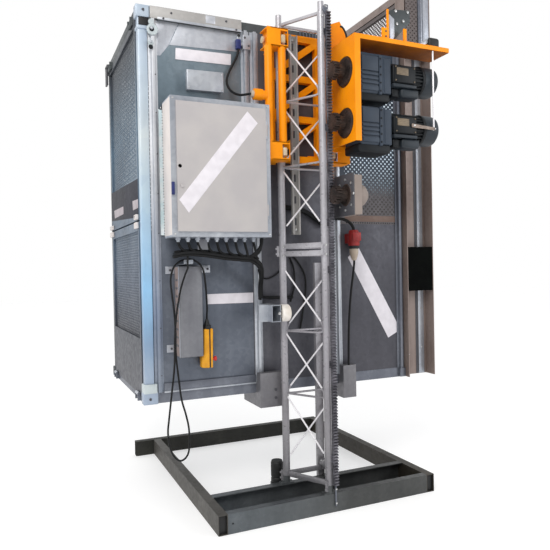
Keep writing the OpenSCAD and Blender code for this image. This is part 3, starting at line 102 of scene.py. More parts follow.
def zinc(name, dark, mid, pale, metallic=0.55, rough=0.42, streak=1.0, spangle_mm=22, fade=(), axis="Z", glow=0.0):
    """Hot-dip galvanised steel: frozen zinc crystals, cloudy white bloom and faint runs down the sheet.
    The fade lists (place in mm along the axis, tint) of painted light and shade, which lighten or darken
    the steel along its length; the glow is painted light, an emission in the sheet's own colour."""
    finish, tree, shader, place = new_finish(name)
    crystals = add(tree, "ShaderNodeTexVoronoi", {"Scale": 1 / (spangle_mm * MM), "Randomness": 1.0},
                   [("Vector", place, "Object")])
    grey = add(tree, "ShaderNodeSeparateColor", links=[("Color", crystals, "Color")])
    # Bloom drifts over about half a metre
    bloom = noise(tree, place, 2.1, 2.0, Roughness=0.5)
    squeeze = add(tree, "ShaderNodeMapping", {"Scale": (9.0, 9.0, 0.8)}, [("Vector", place, "Object")])
    runs = noise(tree, squeeze, 1.6, 4.0, "Vector")
    crystal_part = add(tree, "ShaderNodeMath", {"operation": "MULTIPLY", 1: 0.1}, [(0, grey, "Red")])
    bloom_part = add(tree, "ShaderNodeMath", {"operation": "MULTIPLY", 1: 0.9}, [(0, bloom, "Fac")])
    runs_part = add(tree, "ShaderNodeMath", {"operation": "MULTIPLY", 1: 0.35 * streak}, [(0, runs, "Fac")])
    first = add(tree, "ShaderNodeMath", {"operation": "ADD"}, [(0, crystal_part, "Value"), (1, bloom_part, "Value")])
    total = add(tree, "ShaderNodeMath", {"operation": "ADD"}, [(0, first, "Value"), (1, runs_part, "Value")])
    ramp = add(tree, "ShaderNodeValToRGB", links=[("Fac", total, "Value")])
    stops(ramp, [(0.36, dark), (0.66, mid), (0.98, pale)])
    colour = ramp.outputs["Color"]
    # Painted light and shade: a ramp along one axis multiplies the colour
    if fade:
        start, end = fade[0][0], fade[-1][0]
        parts = add(tree, "ShaderNodeSeparateXYZ", links=[("Vector", place, "Object")])
        share = add(tree, "ShaderNodeMapRange", {"From Min": start * MM, "From Max": end * MM},
                    [("Value", parts, axis)])
        tint = add(tree, "ShaderNodeValToRGB", links=[("Fac", share, "Result")])
        stops(tint, [((spot - start) / (end - start), code) for spot, code in fade])
        blend = add(tree, "ShaderNodeMix", {"data_type": "RGBA", "blend_type": "MULTIPLY", 0: 1.0},
                    [(6, ramp, "Color"), (7, tint, "Color")])
        colour = blend.outputs[2]
    tree.links.new(colour, shader.inputs["Base Color"])
    # Painted light: the sheet gives off its own colour
    if glow:
        tree.links.new(colour, shader.inputs["Emission Color"])
        shader.inputs["Emission Strength"].default_value = glow
    rough_part = add(tree, "ShaderNodeMapRange", {"To Min": rough - 0.05, "To Max": rough + 0.08},
                     [("Value", grey, "Green")])
    tree.links.new(rough_part.outputs["Result"], shader.inputs["Roughness"])
    bump = add(tree, "ShaderNodeBump", {"Strength": 0.05, "Distance": 0.002}, [("Height", grey, "Red")])
    tree.links.new(bump.outputs["Normal"], shader.inputs["Normal"])
    shader.inputs["Metallic"].default_value = metallic
    return finish


def enamel(name, main, deep, rough=0.38, grime="#3A2A12", grime_share=0.25, gloss=0.5):
    """Sprayed enamel on steel: an even film with a slight orange peel, duller and dirtier in patches"""
    finish, tree, shader, place = new_finish(name)
    cloud = noise(tree, place, 6.0, 4.0)
    ramp = add(tree, "ShaderNodeValToRGB", links=[("Fac", cloud, "Fac")])
    stops(ramp, [(0.35, deep), (0.62, main)])
    # Dust and rubbed spots a few millimetres across
    specks = noise(tree, place, 120.0, 3.0)
    mask = add(tree, "ShaderNodeMapRange", {"From Min": 0.62, "From Max": 0.76, "To Max": grime_share},
               [("Value", specks, "Fac")])
    mix = add(tree, "ShaderNodeMix", {"data_type": "RGBA"},
              [("Factor", mask, "Result"), (6, ramp, "Color")])
    mix.inputs[7].default_value = tone(grime)
    tree.links.new(mix.outputs[2], shader.inputs["Base Color"])
    dull = add(tree, "ShaderNodeMapRange", {"To Min": rough - 0.07, "To Max": rough + 0.15}, [("Value", cloud, "Fac")])
    tree.links.new(dull.outputs["Result"], shader.inputs["Roughness"])
    peel = noise(tree, place, 420.0, 2.0)
    bump = add(tree, "ShaderNodeBump", {"Strength": 0.06, "Distance": 0.0006}, [("Height", peel, "Fac")])
    tree.links.new(bump.outputs["Normal"], shader.inputs["Normal"])
    shader.inputs["Specular IOR Level"].default_value = gloss
    return finish


GRAIN = (40.0, 40.0, 400.0)     # lines to the metre, across and along the cut


def bare_steel(name, dark, pale, rough=0.35, metallic=0.9):
    """Drawn or machined steel: fine lines along the cut, oily darker patches"""
    finish, tree, shader, place = new_finish(name)
    lines = add(tree, "ShaderNodeMapping", {"Scale": GRAIN}, [("Vector", place, "Object")])
    fine = noise(tree, lines, 1.0, 3.0, "Vector")
    oil = noise(tree, place, 14.0, 4.0)
    both = add(tree, "ShaderNodeMath", {"operation": "MULTIPLY"}, [(0, fine, "Fac"), (1, oil, "Fac")])
    ramp = add(tree, "ShaderNodeValToRGB", links=[("Fac", both, "Value")])
    stops(ramp, [(0.14, dark), (0.4, pale)])
    tree.links.new(ramp.outputs["Color"], shader.inputs["Base Color"])
    dull = add(tree, "ShaderNodeMapRange", {"To Min": rough + 0.15, "To Max": rough - 0.05}, [("Value", oil, "Fac")])
    tree.links.new(dull.outputs["Result"], shader.inputs["Roughness"])
    shader.inputs["Metallic"].default_value = metallic
    return finish


def moulded(name, main, deep, rough=0.5, ior=1.5, grit_mm=1.2):
    """Moulded plastic or rubber: a fine spark-eroded grain and a little dust in its colour"""
    finish, tree, shader, place = new_finish(name)
    dust = noise(tree, place, 18.0, 5.0)
    ramp = add(tree, "ShaderNodeValToRGB", links=[("Fac", dust, "Fac")])
    stops(ramp, [(0.38, deep), (0.64, main)])
    tree.links.new(ramp.outputs["Color"], shader.inputs["Base Color"])
    grit = noise(tree, place, 1 / (grit_mm * MM), 1.0)
    bump = add(tree, "ShaderNodeBump", {"Strength": 0.12, "Distance": 0.0004}, [("Height", grit, "Fac")])
    tree.links.new(bump.outputs["Normal"], shader.inputs["Normal"])
    dull = add(tree, "ShaderNodeMapRange", {"To Min": rough - 0.08, "To Max": rough + 0.12}, [("Value", dust, "Fac")])
    tree.links.new(dull.outputs["Result"], shader.inputs["Roughness"])
    shader.inputs["IOR"].default_value = ior
    return finish


SHEET = zinc("galvanised_sheet", "#545A65", "#636974", "#7D838D")
SHEET_UPPER = zinc("galvanised_sheet_upper", "#62717B", "#74838D", "#8F9CA5")
SHEET_WARM = zinc("galvanised_sheet_dull", "#45454B", "#515158", "#636369", rough=0.5)
# Painted light: a brighter copy of the sheet zinc for lit faces, bright edges and the reflecting upper fold
SHEET_LIT = zinc("galvanised_sheet_painted_light", "#9499A2", "#ABAFB8", "#C8CBD2", rough=0.36, streak=1.6)
# Painted shade at the foot, near 1140 mm and at the top of the side sheets; painted light, paler and bluer, between
# 1500 and 2500 mm
SHEET_SIDE = zinc("galvanised_sheet_side", "#626C78", "#7A8692", "#95A0AA", rough=0.45, fade=[
    (760, "#A89C9C"), (1140, "#908A8E"), (1500, "#C4C8D4"), (2500, "#CCE0EC"), (3100, "#989494")])
BAND_SHEET = zinc("dark_band_sheet", "#24252D", "#2C2D36", "#393A44", metallic=0.0, rough=0.75)
PROFILE = zinc("galvanised_profile", "#8C929C", "#A6ABB4", "#C4C8CE", streak=1.6, rough=0.36)
# Painted light: the hat at the left corner brightens to white towards its top
HAT_ZINC = zinc("galvanised_hat", "#AAADB4", "#C3C6CC", "#DCDEE2", streak=1.6, rough=0.4, metallic=0.35, fade=[
    (900, "#A0A8B4"), (1300, "#A0ACC0"), (2200, "#FFFFFF")])
RAIL_ZINC = zinc("galvanised_floor_rail", "#5A5E68", "#6A6E78", "#82868F", streak=1.2, rough=0.42)
# Painted light and shade on the front corner post: darker low down, a pale blue band near 1450 mm, near white at 2400
# mm
POST = zinc("zinc_plated_post", "#BDCBE0", "#CFDBEE", "#E4ECF6", metallic=0.25, rough=0.34, spangle_mm=60, fade=[
    (800, "#C0C6CC"), (1100, "#A0B4C4"), (1450, "#B8E4F8"), (2400, "#F8F8EC"), (3150, "#D0D6D8")])
WASHER = zinc("passivated_washer", "#A4AFB2", "#B7C1C4", "#CCD5D7", metallic=0.2, rough=0.4)
# Painted light: the mast tubes are darker at the foot and turn white upwards
MAST_ZINC = zinc("galvanised_tube", "#929196", "#AAA9AE", "#C6C5CA", metallic=0.3, rough=0.32, spangle_mm=14, fade=[
    (120, "#BEBEBE"), (600, "#D0CECE"), (1200, "#F0EEF0"), (2000, "#FFFFFF")])
# Painted shade: the tray darkens towards its right end
TRAY_ZINC = zinc("galvanised_tray", "#5F6569", "#737A7E", "#8D9397", rough=0.45, axis="X", fade=[
    (-700, "#D2D2D4"), (-150, "#CECAC8"), (150, "#A49E99"), (760, "#9A9590")])
# Weathered dark steel, with painted shade that darkens the right end of the tubes
BASE_STEEL = zinc("weathered_and_shaded_base_tube", "#3C3A37", "#494743", "#5B5854", metallic=0.2, rough=0.55, axis="X", fade=[
    (-755, "#FFFFFF"), (0, "#FFFFFF"), (700, "#B4AC9E"), (815, "#AAA294")])
STRIKE_ZINC = zinc("galvanised_strike_box", "#66656A", "#77767A", "#8E8D90", rough=0.45)
PINK_SHEET = zinc("pinkish_side_sheet", "#9A8884", "#AE9C97", "#C4B4AF", metallic=0.2, rough=0.5)
BEAM_STEEL = zinc("dark_base_beam", "#1B1B18", "#252521", "#35352F", metallic=0.2, rough=0.6)
COLUMN_STEEL = zinc("brown_primed_column", "#695B55", "#7B6C66", "#91837D", metallic=0.25, rough=0.5, streak=2.4)
GATE_ZINC = zinc("galvanised_gate", "#534C4B", "#625A59", "#767070", metallic=0.3, rough=0.5)
YELLOW = enamel("yellow_enamel", "#F89602", "#EE8B00", gloss=0.25)
# Painted shade: a dark copy of the yellow enamel for the shelf's underside
SHELF_SHADE = enamel("painted_shade_yellow_enamel", "#8C4E12", "#6E3A0A", rough=0.6, gloss=0.1)
GEAR_PAINT = enamel("slate_gear_paint", "#39424E", "#323A45", rough=0.45, grime="#20242A", gloss=0.25)
MOTOR_PAINT = enamel("black_motor_paint", "#14181C", "#0E1114", rough=0.45, grime="#0A0B0C", gloss=0.25)
COWL_PAINT = enamel("dark_cowl_paint", "#2A3138", "#22282E", rough=0.42, grime="#15181B", gloss=0.3)
GREY_POWDER = enamel("grey_powder_coat", "#B2AEAD", "#ABA7A8", rough=0.55, grime="#989494", grime_share=0.1, gloss=0.3)
PALE_POWDER = enamel("pale_powder_coat", "#DED6D2", "#D2CBC9", rough=0.5, grime="#B0A8A4", grime_share=0.1)
RESISTOR_GREY = zinc("resistor_sheet", "#5F6066", "#6C6D73", "#7E7F84", metallic=0.3, rough=0.45, streak=2.0)
SAFETY_PAINT = enamel("pale_safety_paint", "#8E827B", "#827770", rough=0.5, grime="#5A5348", gloss=0.3)
DARK_PLATE = enamel("dark_plate_paint", "#4A4A4F", "#3F3F44", rough=0.45, grime="#2A2A2A")
RACK_STEEL = bare_steel("oiled_rack_steel", "#45444A", "#94929A", rough=0.4, metallic=0.7)
# Dark greased steel for the pinions; the same dark on the pinion seat discs is painted shade
PINION_STEEL = bare_steel("greased_pinion_steel_and_shade", "#1F1918", "#52453F", rough=0.42, metallic=0.5)
BRIGHT_STEEL = bare_steel("bright_rod_steel", "#A8A8A8", "#EDEDED", rough=0.28)
DULL_ALLOY = bare_steel("dull_lever_alloy", "#6E6058", "#A39388", rough=0.55, metallic=0.2)
ROLLER_STEEL = bare_steel("turned_roller_steel", "#B9A888", "#E2D6BE", rough=0.45, metallic=0.15)
# Painted highlight: near-white zinc on the thin brace rods and the brake rod stands for their highlights
ROD_ZINC = zinc("brace_rod_painted_highlight", "#DAD8DC", "#ECEAEE", "#FAF8FB", metallic=0.2, rough=0.3, spangle_mm=8)
REAR_POST = zinc("dull_rear_post", "#424749", "#505557", "#626769", rough=0.5)
CENTRE_ZINC = zinc("dull_strut_profile", "#8C8A88", "#9F9D9B", "#B4B2B0", rough=0.45, metallic=0.3)
SHADED_SHEET = zinc("shaded_punched_sheet", "#4C4E54", "#5A5C62", "#6C6E74", rough=0.5, metallic=0.3, fade=[
    (1890, "#FFF0E8"), (2090, "#F4E6E0"), (2180, "#C8D0D8"), (2330, "#7F9AB4"), (3160, "#6C8CA8")])
# A brown strip along the lower edge of the punched sheet
TAN_STRIP = zinc("brown_strip", "#5A473F", "#6B574E", "#7D6C62", rough=0.5, metallic=0.2)
# Painted light: the sheet behind the punched holes glows, dark at the foot and white at the top, as daylight seen
# through the holes
BACK_SHEET = zinc("backing_sheet_painted_daylight", "#DDE9F0", "#E9F3F9", "#F4FAFD", rough=0.6, metallic=0.0, glow=0.3, fade=[
    (1890, "#3A332F"), (2080, "#48413D"), (2180, "#8C969E"), (2330, "#F0F8FF"), (3160, "#FFFFFF")])
STRIP_WHITE = moulded("pale_glass_strip", "#F4FBFD", "#DDF1F5", rough=0.3, grit_mm=3)
BLACK_RUBBER = moulded("black_rubber", "#1B1C1E", "#121314", rough=0.55)
CABLE_BLACK = moulded("cable_sheath", "#131416", "#0B0C0D", rough=0.55, ior=1.35)
# Black iron, made darker still as painted shade inside the column's channel
WEIGHT_IRON = moulded("black_cast_weight_and_painted_shade", "#070908", "#030404", rough=0.85, ior=1.15, grit_mm=4)
BLUE_PLASTIC = moulded("blue_switch_plastic", "#222E6E", "#1A245A", rough=0.45)
YELLOW_PLASTIC = moulded("yellow_control_plastic", "#DE9C0E", "#CE8C04", rough=0.4)
RED_PLASTIC = moulded("red_coupling_plastic", "#9C1A17", "#820F0D", rough=0.42)
STOP_RED = moulded("red_stop_plastic", "#D8342E", "#C02420", rough=0.35)
BEIGE_PLASTIC = moulded("beige_plug_plastic", "#B9AA99", "#A79786", rough=0.45)
NYLON = moulded("natural_nylon", "#F1ECE6", "#DED6CC", rough=0.45, grit_mm=2)
DULL_LABEL = moulded("faded_label_vinyl", "#B4ABB0", "#A39A9F", rough=0.5, grit_mm=3)
LABEL = moulded("blank_label_vinyl", "#DFDBE1", "#D5D1D7", rough=0.35, grit_mm=3)
PLATE_METAL = bare_steel("blank_type_plate", "#5C5042", "#83745F", rough=0.5, metallic=0.2)


# Modelling tools

def edit_mesh():
    """Opens the active piece for modelling, with all of it selected"""
    bpy.ops.object.mode_set(mode="EDIT")
    bpy.ops.mesh.select_all(action="SELECT")


def close_mesh():
    """Turns every face outward and ends the modelling of the piece"""
    bpy.ops.mesh.select_all(action="SELECT")
    bpy.ops.mesh.normals_make_consistent(inside=False)
    bpy.ops.object.mode_set(mode="OBJECT")


def wear(piece, name, finish, body):
    """Puts the place of the active piece into its mesh, and gives it a name, a finish and a body"""
    bpy.ops.object.transform_apply(location=True, rotation=True, scale=True)
    piece.name = name
    piece.data.name = name
    piece.data.materials.clear()
    piece.data.materials.append(finish)
    bpy.ops.object.shade_smooth_by_angle(angle=math.radians(32))
    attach(piece, body)
    return piece


def apply_modifiers(piece):
    for modifier in list(piece.modifiers):
        bpy.ops.object.modifier_apply(modifier=modifier.name)


def soften(piece, width, segments=2):
    """Rounds the edges of a piece, as a press brake, a casting or a file would"""
    if width:
        bevel = piece.modifiers.new("round", "BEVEL")
        bevel.width = width * MM
        bevel.segments = segments
        bevel.limit_method = "ANGLE"
        bevel.angle_limit = math.radians(30)
        apply_modifiers(piece)


def block(name, low, high, finish, body="cage", edge=2.0, segments=2):
    """A plain block between two corners in millimetres, with rounded edges"""
    pick()
    bpy.ops.mesh.primitive_cube_add(size=1, location=[(a + b) / 2 * MM for a, b in zip(low, high)])
    piece = bpy.context.object
    piece.scale = [(b - a) * MM for a, b in zip(low, high)]
    bpy.ops.object.transform_apply(location=False, rotation=False, scale=True)
    soften(piece, edge, segments)
    return wear(piece, name, finish, body)


AXES = {"x": ((0, 1, 0), (0, 0, 1), (1, 0, 0)), "y": ((1, 0, 0), (0, 0, 1), (0, 1, 0)),
        "z": ((1, 0, 0), (0, 1, 0), (0, 0, 1))}


def plate(name, outline, along, start, depth, finish, body="cage", edge=1.0, segments=2):
    """An outline in millimetres, drawn square to one axis and extruded along it"""
    pick()
    first, second, third = (Vector(v) for v in AXES[along])
    bpy.ops.mesh.primitive_circle_add(vertices=len(outline), radius=1, fill_type="NGON")
    piece = bpy.context.object
    for vertex, (a, b) in zip(piece.data.vertices, outline):
        vertex.co = (first * a + second * b + third * start) * MM
    edit_mesh()
    bpy.ops.mesh.extrude_region_move(TRANSFORM_OT_translate={"value": third * depth * MM})
    close_mesh()
    soften(piece, edge, segments)
    return wear(piece, name, finish, body)


TURNS = {"x": (0, math.pi / 2, 0), "y": (-math.pi / 2, 0, 0), "z": (0, 0, 0)}


def turned(name, profile, place, along, finish, body="cage", sides=40, edge=0.0):
    """A round piece from (height, radius) steps in millimetres, standing at a place along one axis"""
    pick()
    bpy.ops.mesh.primitive_circle_add(vertices=sides, radius=profile[0][1] * MM, fill_type="NGON",
                                      location=(0, 0, profile[0][0] * MM))
    piece = bpy.context.object
    bpy.ops.object.transform_apply(location=True, rotation=False, scale=False)
    edit_mesh()
    for (h0, r0), (h1, r1) in zip(profile, profile[1:]):
        bpy.ops.mesh.extrude_region_move(TRANSFORM_OT_translate={"value": (0, 0, (h1 - h0) * MM)})
        if r1 != r0:
            bpy.ops.transform.resize(value=(r1 / r0, r1 / r0, 1), center_override=(0, 0, h1 * MM))
    close_mesh()
    soften(piece, edge)
    piece.rotation_euler = TURNS[along]
    piece.location = [v * MM for v in place]
    return wear(piece, name, finish, body)


def bolts(name, places, along, across, height, finish, body="cage", sides=6):
    """One bolt head, modelled once and copied to each place, joined into one piece"""
    heads = []
    for place in places:
        pick()
        if not heads:
            bpy.ops.mesh.primitive_cylinder_add(vertices=sides, radius=across / 2 * MM, depth=height * MM)
            head = bpy.context.object
            soften(head, height * 0.18)
            head.rotation_euler = TURNS[along]
            bpy.ops.object.transform_apply(location=True, rotation=True, scale=True)
            pattern = head
        else:
            pick(pattern)
            bpy.ops.object.duplicate()
            head = bpy.context.object
        head.location = [v * MM for v in place]
        heads.append(head)
    pick(*heads)
    bpy.ops.object.transform_apply(location=True, rotation=True, scale=True)
    if len(heads) > 1:
        bpy.ops.object.join()
    return wear(bpy.context.object, name, finish, body)


def smooth_path(points, steps):
    """A smooth line through given points, as the CAD routes are drawn"""
    path = []
    for i in range(len(points) - 1):
        a, b, c, d = (Vector(points[max(0, min(k, len(points) - 1))]) for k in (i - 1, i, i + 1, i + 2))
        for s in range(steps):
            t = s / steps
            path.append(0.5 * (2 * b + (c - a) * t + (2 * a - 5 * b + 4 * c - d) * t * t
                               + (3 * b - a - 3 * c + d) * t ** 3))
    path.append(Vector(points[-1]))
    return [p * MM for p in path]


def cable(name, points, across, finish, body="cage", steps=5, sides=5, keep_curve=False):
    """A round cable along a smooth path"""
    path = smooth_path(points, steps)
    line = bpy.data.curves.new(name, "CURVE")
    line.dimensions = "3D"
    line.bevel_depth = across / 2 * MM
    line.bevel_resolution = sides
    line.use_fill_caps = True
    spline = line.splines.new("POLY")
    spline.points.add(len(path) - 1)
    for point, place in zip(spline.points, path):
        point.co = (*place, 1)
    piece = bpy.data.objects.new(name, line)
    bpy.context.scene.collection.objects.link(piece)
    pick(piece)
    line.materials.append(finish)
    if keep_curve:
        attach(piece, body)
        return piece, path
    bpy.ops.object.convert(target="MESH")
    return wear(bpy.context.object, name, finish, body)


PUNCH_PITCH = 36.0
PUNCH_HOLE = 17.0
PUNCH_SIDES = 8


def punched(name, along, across, up, place, thick, finish, body="cage", hole=PUNCH_HOLE):
    """A punched sheet: one pair of cells with staggered holes is modelled, repeated both ways and thickened.
    across and up are the sheet's limits in millimetres, place its near face along the third axis."""
    pick()
    half = PUNCH_PITCH / 2
    columns = int((across[1] - across[0]) // PUNCH_PITCH)
    rows = int((up[1] - up[0]) // PUNCH_PITCH)
    left = (across[0] + across[1] - columns * PUNCH_PITCH) / 2
    low = (up[0] + up[1] - rows * PUNCH_PITCH) / 2
    turns = [2 * math.pi * i / PUNCH_SIDES for i in range(PUNCH_SIDES)]
    ring = [Vector((math.cos(t), math.sin(t))) * hole / 2 for t in turns]
    cells = []
    for k in range(2):
        x0, x1, middle = half * k, half * (k + 1), half * (k + 0.5)
        centre = Vector((middle, half * (k + 0.5)))
        rim = [(x1, half), (x1, PUNCH_PITCH), (middle, PUNCH_PITCH), (x0, PUNCH_PITCH), (x0, half), (x0, 0),
               (middle, 0), (x1, 0)]
        bpy.ops.mesh.primitive_circle_add(vertices=PUNCH_SIDES, radius=hole / 2, fill_type="NOTHING")
        cell = bpy.context.object
        edit_mesh()
        bpy.ops.mesh.extrude_edges_move(TRANSFORM_OT_translate={"value": (0, 0, 0)})
        bpy.ops.object.mode_set(mode="OBJECT")
        # The inner ring is the hole, the outer ring is drawn out to the cell's edge
        for i, vertex in enumerate(cell.data.vertices):
            near = min(range(PUNCH_SIDES), key=lambda n: (ring[n] - vertex.co.xy).length)
            spot = centre + ring[near] if i < PUNCH_SIDES else rim[near]
            vertex.co = (spot[0] * MM, spot[1] * MM, 0)
        cells.append(cell)
    piece = join(cells)
    for count, step in ((columns, (PUNCH_PITCH * MM, 0, 0)), (rows, (0, PUNCH_PITCH * MM, 0))):
        repeat = piece.modifiers.new("repeat", "ARRAY")
        repeat.use_relative_offset = False
        repeat.use_constant_offset = True
        repeat.constant_offset_displace = step
        repeat.count = count
    apply_modifiers(piece)
    edit_mesh()
    bpy.ops.mesh.remove_doubles(threshold=0.0001)
    close_mesh()
    wall = piece.modifiers.new("wall", "SOLIDIFY")
    wall.thickness = thick * MM
    wall.offset = 0
    apply_modifiers(piece)
    first, second, third = (Vector(v) for v in AXES[along])
    turn = Matrix((first, second, third)).transposed().to_4x4()
    spot = (first * left + second * low + third * (place + thick / 2)) * MM
    piece.matrix_world = Matrix.Translation(spot) @ turn
    bpy.context.view_layer.update()
    bpy.ops.object.transform_apply(location=True, rotation=True, scale=True)
    edit_mesh()
    close_mesh()
    return wear(piece, name, finish, body)


def join(pieces, name=None):
    """Joins pieces of one body into the first of them"""
    pick(*pieces)
    if len(pieces) > 1:
        bpy.ops.object.join()
    piece = bpy.context.object
    if name:
        piece.name = name
        piece.data.name = name
    return piece


def stand_for(pieces, name, slot, *nodes):
    """Joins the pieces of one sub-assembly, which then stand for its CAD nodes"""
    piece = join(pieces, name)
    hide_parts(*nodes)
    return piece


def border(name, along, outer, inner, place, thick, finish, body="cage"):
    """The plain edge of a sheet or door leaf: a rectangle with a rectangular opening, as four joined strips"""
    (x0, x1, z0, z1), (a0, a1, b0, b1) = outer, inner
    strips = [(x0, a0, z0, z1), (a1, x1, z0, z1), (a0, a1, z0, b0), (a0, a1, b1, z1)]
    pieces = [plate(name, box_outline(*strip), along, place, thick, finish, body, edge=0.6, segments=1)
              for strip in strips]
    return join(pieces, name)


def box_outline(a0, a1, b0, b1):
    return [(a0, b0), (a1, b0), (a1, b1), (a0, b1)]


def dress(finish, *names):
    """Gives CAD nodes their finish"""
    for name in names:
        node = NODES[name]
        node.data.materials.clear()
        node.data.materials.append(finish)


# Camera, from the photograph's own perspective

YAW, PITCH, ROLL = 24.0, 0.65, -1.08      # degrees
EYE = (-1.8159, -3.2898, 1.5656)          # metres
FOCAL_PX, PHOTO_PX, SENSOR_MM = 586.03, 550, 36.0

yaw, pitch, roll = (math.radians(angle) for angle in (YAW, PITCH, ROLL))
ahead = Vector((math.sin(yaw), math.cos(yaw), 0))
side = Vector((math.cos(yaw), -math.sin(yaw), 0))
rise = Vector((0, 0, 1))
look = ahead * math.cos(pitch) - rise * math.sin(pitch)
top = rise * math.cos(pitch) + ahead * math.sin(pitch)
right = side * math.cos(roll) + top * math.sin(roll)
upward = top * math.cos(roll) - side * math.sin(roll)
lens = bpy.data.cameras.new("camera")
lens.sensor_width = SENSOR_MM
lens.lens = FOCAL_PX / PHOTO_PX * SENSOR_MM
lens.clip_end = 100
camera = bpy.data.objects.new("camera", lens)
camera.matrix_world = Matrix.Translation(EYE) @ Matrix((right, upward, -look)).transposed().to_4x4()
bpy.context.scene.collection.objects.link(camera)
bpy.context.scene.camera = camera


# Cords

PENDANT_ROUTE = [
    (-838, 225, 1591), (-838, 227, 1576), (-848, 246, 1540), (-872, 266, 1455), (-890, 276, 1355), (-905, 280, 1255),
    (-915, 280, 1115), (-920, 280, 970), (-940, 280, 805), (-960, 285, 640), (-968, 285, 560), (-958, 288, 475),
    (-930, 290, 405), (-890, 290, 375), (-850, 294, 395), (-832, 295, 450), (-832, 295, 565), (-850, 295, 660),
    (-875, 295, 755), (-892, 295, 895), (-905, 295, 1040), (-905, 295, 1200), (-912, 295, 1320), (-925, 292, 1430),
    (-930, 290, 1510), (-912, 288, 1580), (-870, 286, 1620), (-810, 286, 1632), (-755, 288, 1612),
    (-722, 290, 1570), (-706, 300, 1500), (-692, 322, 1410), (-682, 345, 1320), (-681, 356, 1270), (-681, 358, 1246)]
PLUG_ROUTE = [
    (430, 345, 1611.9), (430, 345, 1590), (427, 345, 1565), (418, 345, 1500), (402, 345, 1400), (388, 345, 1280),
    (378, 345, 1150),
    (372, 345, 1000), (370, 345, 885), (370, 345, 862.4)]

pendant_cable, pendant_path = cable("pendant_cord", PENDANT_ROUTE, 12, CABLE_BLACK, keep_curve=True)
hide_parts("pendant_cable")
plug_cable, plug_path = cable("plug_cord", PLUG_ROUTE, 16, CABLE_BLACK, keep_curve=True)
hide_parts("plug_cable")


# CAD nodes that stay as they are

dress(BASE_STEEL, "base_side_tubes")
dress(BEAM_STEEL, "rear_base_beam")
dress(TRAY_ZINC, "mast_tray", "buffer_stand")
dress(MAST_ZINC, "joint_hardware", "limit_rail")
dress(RACK_STEEL, "rack_lower", "rack_upper")
dress(BLACK_RUBBER, "rubber_buffer")
dress(RAIL_ZINC, "cage_floor")
dress(STRIKE_ZINC, "strike_boxes")
dress(REAR_POST, "cage_roof")
dress(PROFILE, "cabinet_body", "nylon_bracket")
dress(COLUMN_STEEL, "gate_column_front", "gate_column_rear")
dress(YELLOW, "carriage_truss", "drive_plate", "motor_shelf")
dress(GREY_POWDER, "cabinet_door", "cabinet_gear")
dress(PINION_STEEL, "pinion_upper", "pinion_lower", "pinion_safety")
dress(ROLLER_STEEL, "roller_top_left", "roller_top_right", "roller_low_left", "roller_low_right",
      "roller_back_left", "roller_back_right")
dress(NYLON, "nylon_roller")
dress(WEIGHT_IRON, "counterweight")
dress(STOP_RED, "estop_button")


# Cage walls

FACE = 412          # front of the wall sheets
SHEET_T = 3
WALL_FOOT, WALL_HEAD = 792, 3166
MID_Z = 1880        # where plain sheet gives way to punched sheet

lower_right = plate("right_sheet_lower", box_outline(359, 904, WALL_FOOT, MID_Z), "y", FACE, SHEET_T, SHEET_WARM)
upper_right = border("right_sheet_edge", "y", (359, 904, MID_Z, WALL_HEAD), (400, 848, 1945, 3110), FACE, SHEET_T,
                     SHADED_SHEET)
upper_holes = punched("right_sheet_holes", "y", (390, 858), (1930, 3120), FACE + 0.5, 2, SHADED_SHEET, hole=15)
# The backing plate behind the holes paints the daylight seen through them
upper_back = plate("right_sheet_back", box_outline(396, 852, 1940, 3114), "y", FACE + 4, 2, BACK_SHEET, edge=0.4)
edge_strip = plate("right_sheet_strip", box_outline(400, 848, 1899, 1944), "y", FACE - 2, 2, TAN_STRIP, edge=0.8)
edge_dots = bolts("right_sheet_rivets", [(412 + 20 * i, FACE - 0.5, 1890) for i in range(22)], "y", 9, 3, MOTOR_PAINT,
                  sides=8)
stand_for([lower_right, upper_right, upper_holes, upper_back, edge_strip, edge_dots], "right_front_wall",
          "galvanised_steel",
          "front_right_sheets")

left_low = plate("left_sheet_lower", box_outline(-1016, -334, WALL_FOOT, 1782), "y", FACE, SHEET_T, SHEET)
left_edge = border("left_sheet_edge", "y", (-1016, -334, 1782, 2595), (-960, -390, 1790, 2594), FACE, SHEET_T, SHEET)
left_holes = punched("left_sheet_holes", "y", (-984, -366), (1760, 2700), FACE + 0.5, 2, SHEET)
left_top = plate("left_sheet_upper", [(-1016, 2594), (-953, 2594), (-893, 2672), (-334, 2672), (-334, WALL_HEAD),
                                      (-1016, WALL_HEAD)],
                 "y", FACE - 0.6, SHEET_T + 0.6, SHEET_UPPER)
middle = plate("middle_sheet", box_outline(-334, 358, WALL_FOOT, WALL_HEAD), "y", FACE, SHEET_T, SHEET_WARM)
# Painted reflection: the fold's bright upper strip is a lit zinc plate laid over the sheet
fold_main = plate("folded_sheet", [(-878, 3006), (-394, 3024), (-394, 3150), (-812, 3150)], "y", FACE - 3.4, 2.8,
                  SHEET_LIT)
fold_corner = plate("folded_corner", [(-958, 2930), (-938, 2930), (-882, 3004), (-816, 3150), (-958, 3150)], "y",
                    FACE - 2.2, 1.6, SHEET_LIT)
stand_for([left_low, left_edge, left_holes, left_top, middle, fold_main, fold_corner], "left_front_wall",
          "galvanised_steel", "front_sheets")

HAT = [(0, 0), (0, -4), (15, -4), (19, -26), (39, -26), (43, -4), (58, -4), (58, 0)]
# The first hat takes the hat zinc with painted light; the hat at 838 takes the darker rail zinc as painted shade
hats = [plate("front_hat", [(x + a, FACE + c) for a, c in HAT], "z", foot, WALL_HEAD - foot, finish, edge=0.8)
        for x, foot, finish in ((-1016, WALL_FOOT, HAT_ZINC), (-392, 1790, PROFILE), (-326, WALL_FOOT, PROFILE),
                                (300, WALL_FOOT, PROFILE),
                                (838, WALL_FOOT, RAIL_ZINC))]
